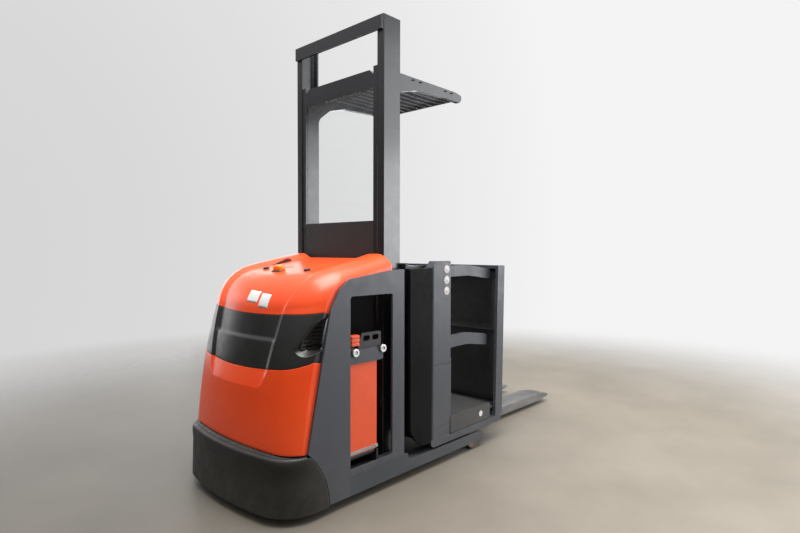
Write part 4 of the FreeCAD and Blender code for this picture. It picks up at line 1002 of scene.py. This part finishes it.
# Lining before it: grid by height and across, how far its front stands out and its fields sink back
LINING_RISE = [(243, 0), (249, 1), (740, 10), (746, 1), (752, 1), (1168, 10), (1174, 1)]
LINING_HALF = 470
LINING_ACROSS = [(-LINING_HALF, 0), (-466, 1), (-440, 3), (-434, 1), (434, 20), (440, 1), (466, 3),
                 (LINING_HALF, 1)]
LINING_DEPTH, FIELD_DEPTH = 3.0, 2.5
FIELD_HALF, FIELD_FOOT, FIELD_TOP, RIB_AT, RIB_HALF = 437, 262, 1150, 746, 3


def wall_face(z):
    """Front face of the cabin's leaning rear wall."""
    return WALL_X - WALL_SHIFT * (WALL_TOP - z) / WALL_HEIGHT


def make_lining():
    """Black lining in front of the cabin's rear wall, with two pressed fields."""
    mesh = bmesh.new()
    rows = []
    heights = spread(LINING_RISE)
    for z in heights:
        row = []
        for y in spread(LINING_ACROSS):
            at_edge = z in (heights[0], heights[-1]) or abs(y) == LINING_HALF
            in_field = abs(y) < FIELD_HALF and abs(z - RIB_AT) > RIB_HALF and FIELD_FOOT < z < FIELD_TOP
            x = wall_face(z) - (0.0 if at_edge else LINING_DEPTH) + (FIELD_DEPTH if in_field else 0.0)
            row.append(Vector((x, y, z)))
        rows.append(row)
    weave(mesh, rows)
    lining = finished("wall_lining", mesh, sheet=True)
    modified(lining, "SOLIDIFY", thickness=0.0015, offset=-1.0)
    settle(lining, "trim_plastic", "cabin")


def make_cabin_marks():
    """The disc beside the step, and the roof's bolts."""
    lathe("step_disc", "pale_plastic", STEP_DISC, (821, -500, 224), (0, -1, 0), "cabin")
    places = [(x, y) for y in (-343, 343) for x in (311, 378, 624, 687)]
    for index, (x, y) in enumerate(places):
        bolt_head("roof_bolt_%d" % (index + 1), "frame_black", (x, y, 2333), (0, 0, 1), 8.0, "cabin")


# Stage, light and camera

def make_stage():
    """A pale floor that fades out into the white surroundings."""
    mesh = bpy.data.meshes.new("floor")
    corners = [(x * FLOOR_REACH, y * FLOOR_REACH, 0) for x, y in ((-1, -1), (1, -1), (1, 1), (-1, 1))]
    mesh.from_pydata([Vector(corner) for corner in corners], [], [(0, 1, 2, 3)])
    floor = bpy.data.objects.new("floor", mesh)
    bpy.context.scene.collection.objects.link(floor)
    material = bpy.data.materials.new("floor")
    material.use_nodes = True
    tree = material.node_tree
    shader = tree.nodes["Principled BSDF"]
    shader.inputs["Roughness"].default_value = 0.55
    stain = blend(tree, span(tree, noise(tree, 1.3, 6.0, rough=0.6), 0.35, 0.7), FLOOR_PALE, FLOOR_STAIN)
    at = place(tree)
    ways = node(tree, "ShaderNodeSeparateXYZ", {0: at}).outputs
    # Painted shade and light: the floor's colour is scaled from dark towards -X and +Y, on the left, to
    # light towards +X and -Y, on the right
    across = node(tree, "ShaderNodeMath", {0: ways["X"], 1: ways["Y"]}, operation="SUBTRACT")
    lit = span(tree, across.outputs[0], -SHADE_REACH, SHADE_REACH, SHADE_LEFT, SHADE_RIGHT)
    shaded = node(tree, "ShaderNodeVectorMath", {0: stain, "Scale": lit}, operation="SCALE").outputs[0]
    tree.links.new(shaded, shader.inputs["Base Color"])
    far = node(tree, "ShaderNodeVectorMath", {0: at}, operation="LENGTH").outputs["Value"]
    fade = node(tree, "ShaderNodeMapRange", {"Value": far, "From Min": FADE_FROM, "From Max": FADE_TO},
                interpolation_type="SMOOTHSTEP").outputs[0]
    nothing = node(tree, "ShaderNodeBsdfTransparent")
    mixed = node(tree, "ShaderNodeMixShader", {0: fade, 1: shader.outputs[0], 2: nothing.outputs[0]})
    tree.links.new(mixed.outputs[0], tree.nodes["Material Output"].inputs["Surface"])
    mesh.materials.append(material)


def area_light(name, at, towards, size, energy, colour):
    """A soft rectangle of light that neither the camera nor the clear screen shows."""
    data = bpy.data.lights.new(name, "AREA")
    data.shape = "RECTANGLE"
    data.size, data.size_y = size
    data.energy = energy
    data.color = colour
    light = bpy.data.objects.new(name, data)
    light.location = at
    light.rotation_euler = (Vector(towards) - Vector(at)).to_track_quat("-Z", "Y").to_euler()
    light.visible_camera = False
    light.visible_transmission = False
    bpy.context.scene.collection.objects.link(light)


def make_light():
    """Daylight from overhead and pale walls round the truck; little falls on the hood's front."""
    world = bpy.data.worlds.new("studio")
    bpy.context.scene.world = world
    world.use_nodes = True
    tree = world.node_tree
    way = node(tree, "ShaderNodeSeparateXYZ", {0: node(tree, "ShaderNodeTexCoord").outputs["Generated"]})
    back = tree.nodes["Background"]
    pale = blend(tree, span(tree, way.outputs["Y"], 1.0, 0.45), PALE_BEHIND, PALE_BESIDE)
    tree.links.new(pale, back.inputs["Color"])
    power = span(tree, way.outputs["Z"], WORLD_FROM, WORLD_TO, WORLD_LOW, WORLD_HIGH)
    room = node(tree, "ShaderNodeBackground", {"Color": (0.95, 0.97, 1.0, 1.0), "Strength": power})
    seen = node(tree, "ShaderNodeLightPath").outputs["Is Camera Ray"]
    both = node(tree, "ShaderNodeMixShader", {0: seen, 1: room.outputs[0], 2: back.outputs[0]})
    tree.links.new(both.outputs[0], tree.nodes["World Output"].inputs["Surface"])
    for name, values in LIGHTS.items():
        area_light(name, *values)


def make_camera():
    """The photograph's camera."""
    data = bpy.data.cameras.new("camera")
    data.lens = LENS
    camera = bpy.data.objects.new("camera", data)
    yaw = Matrix.Rotation(CAMERA_YAW - math.pi / 2, 4, "Z")
    pitch = Matrix.Rotation(math.pi / 2 + CAMERA_PITCH, 4, "X")
    turn = yaw @ pitch @ Matrix.Rotation(CAMERA_ROLL, 4, "Z")
    camera.matrix_world = Matrix.Translation(CAMERA_AT) @ turn
    bpy.context.scene.collection.objects.link(camera)
    bpy.context.scene.camera = camera


dress_frame()
make_covers()
make_seam_backing()
make_intakes()
make_hand_slot()
make_hood_marks()
make_bumper()
make_battery_details()
make_post_details()
make_marker_lamp()
make_wear_strips()
make_lining()
make_cabin_marks()
make_stage()
make_light()
make_camera()
bpy.context.scene.view_settings.view_transform = "Standard"
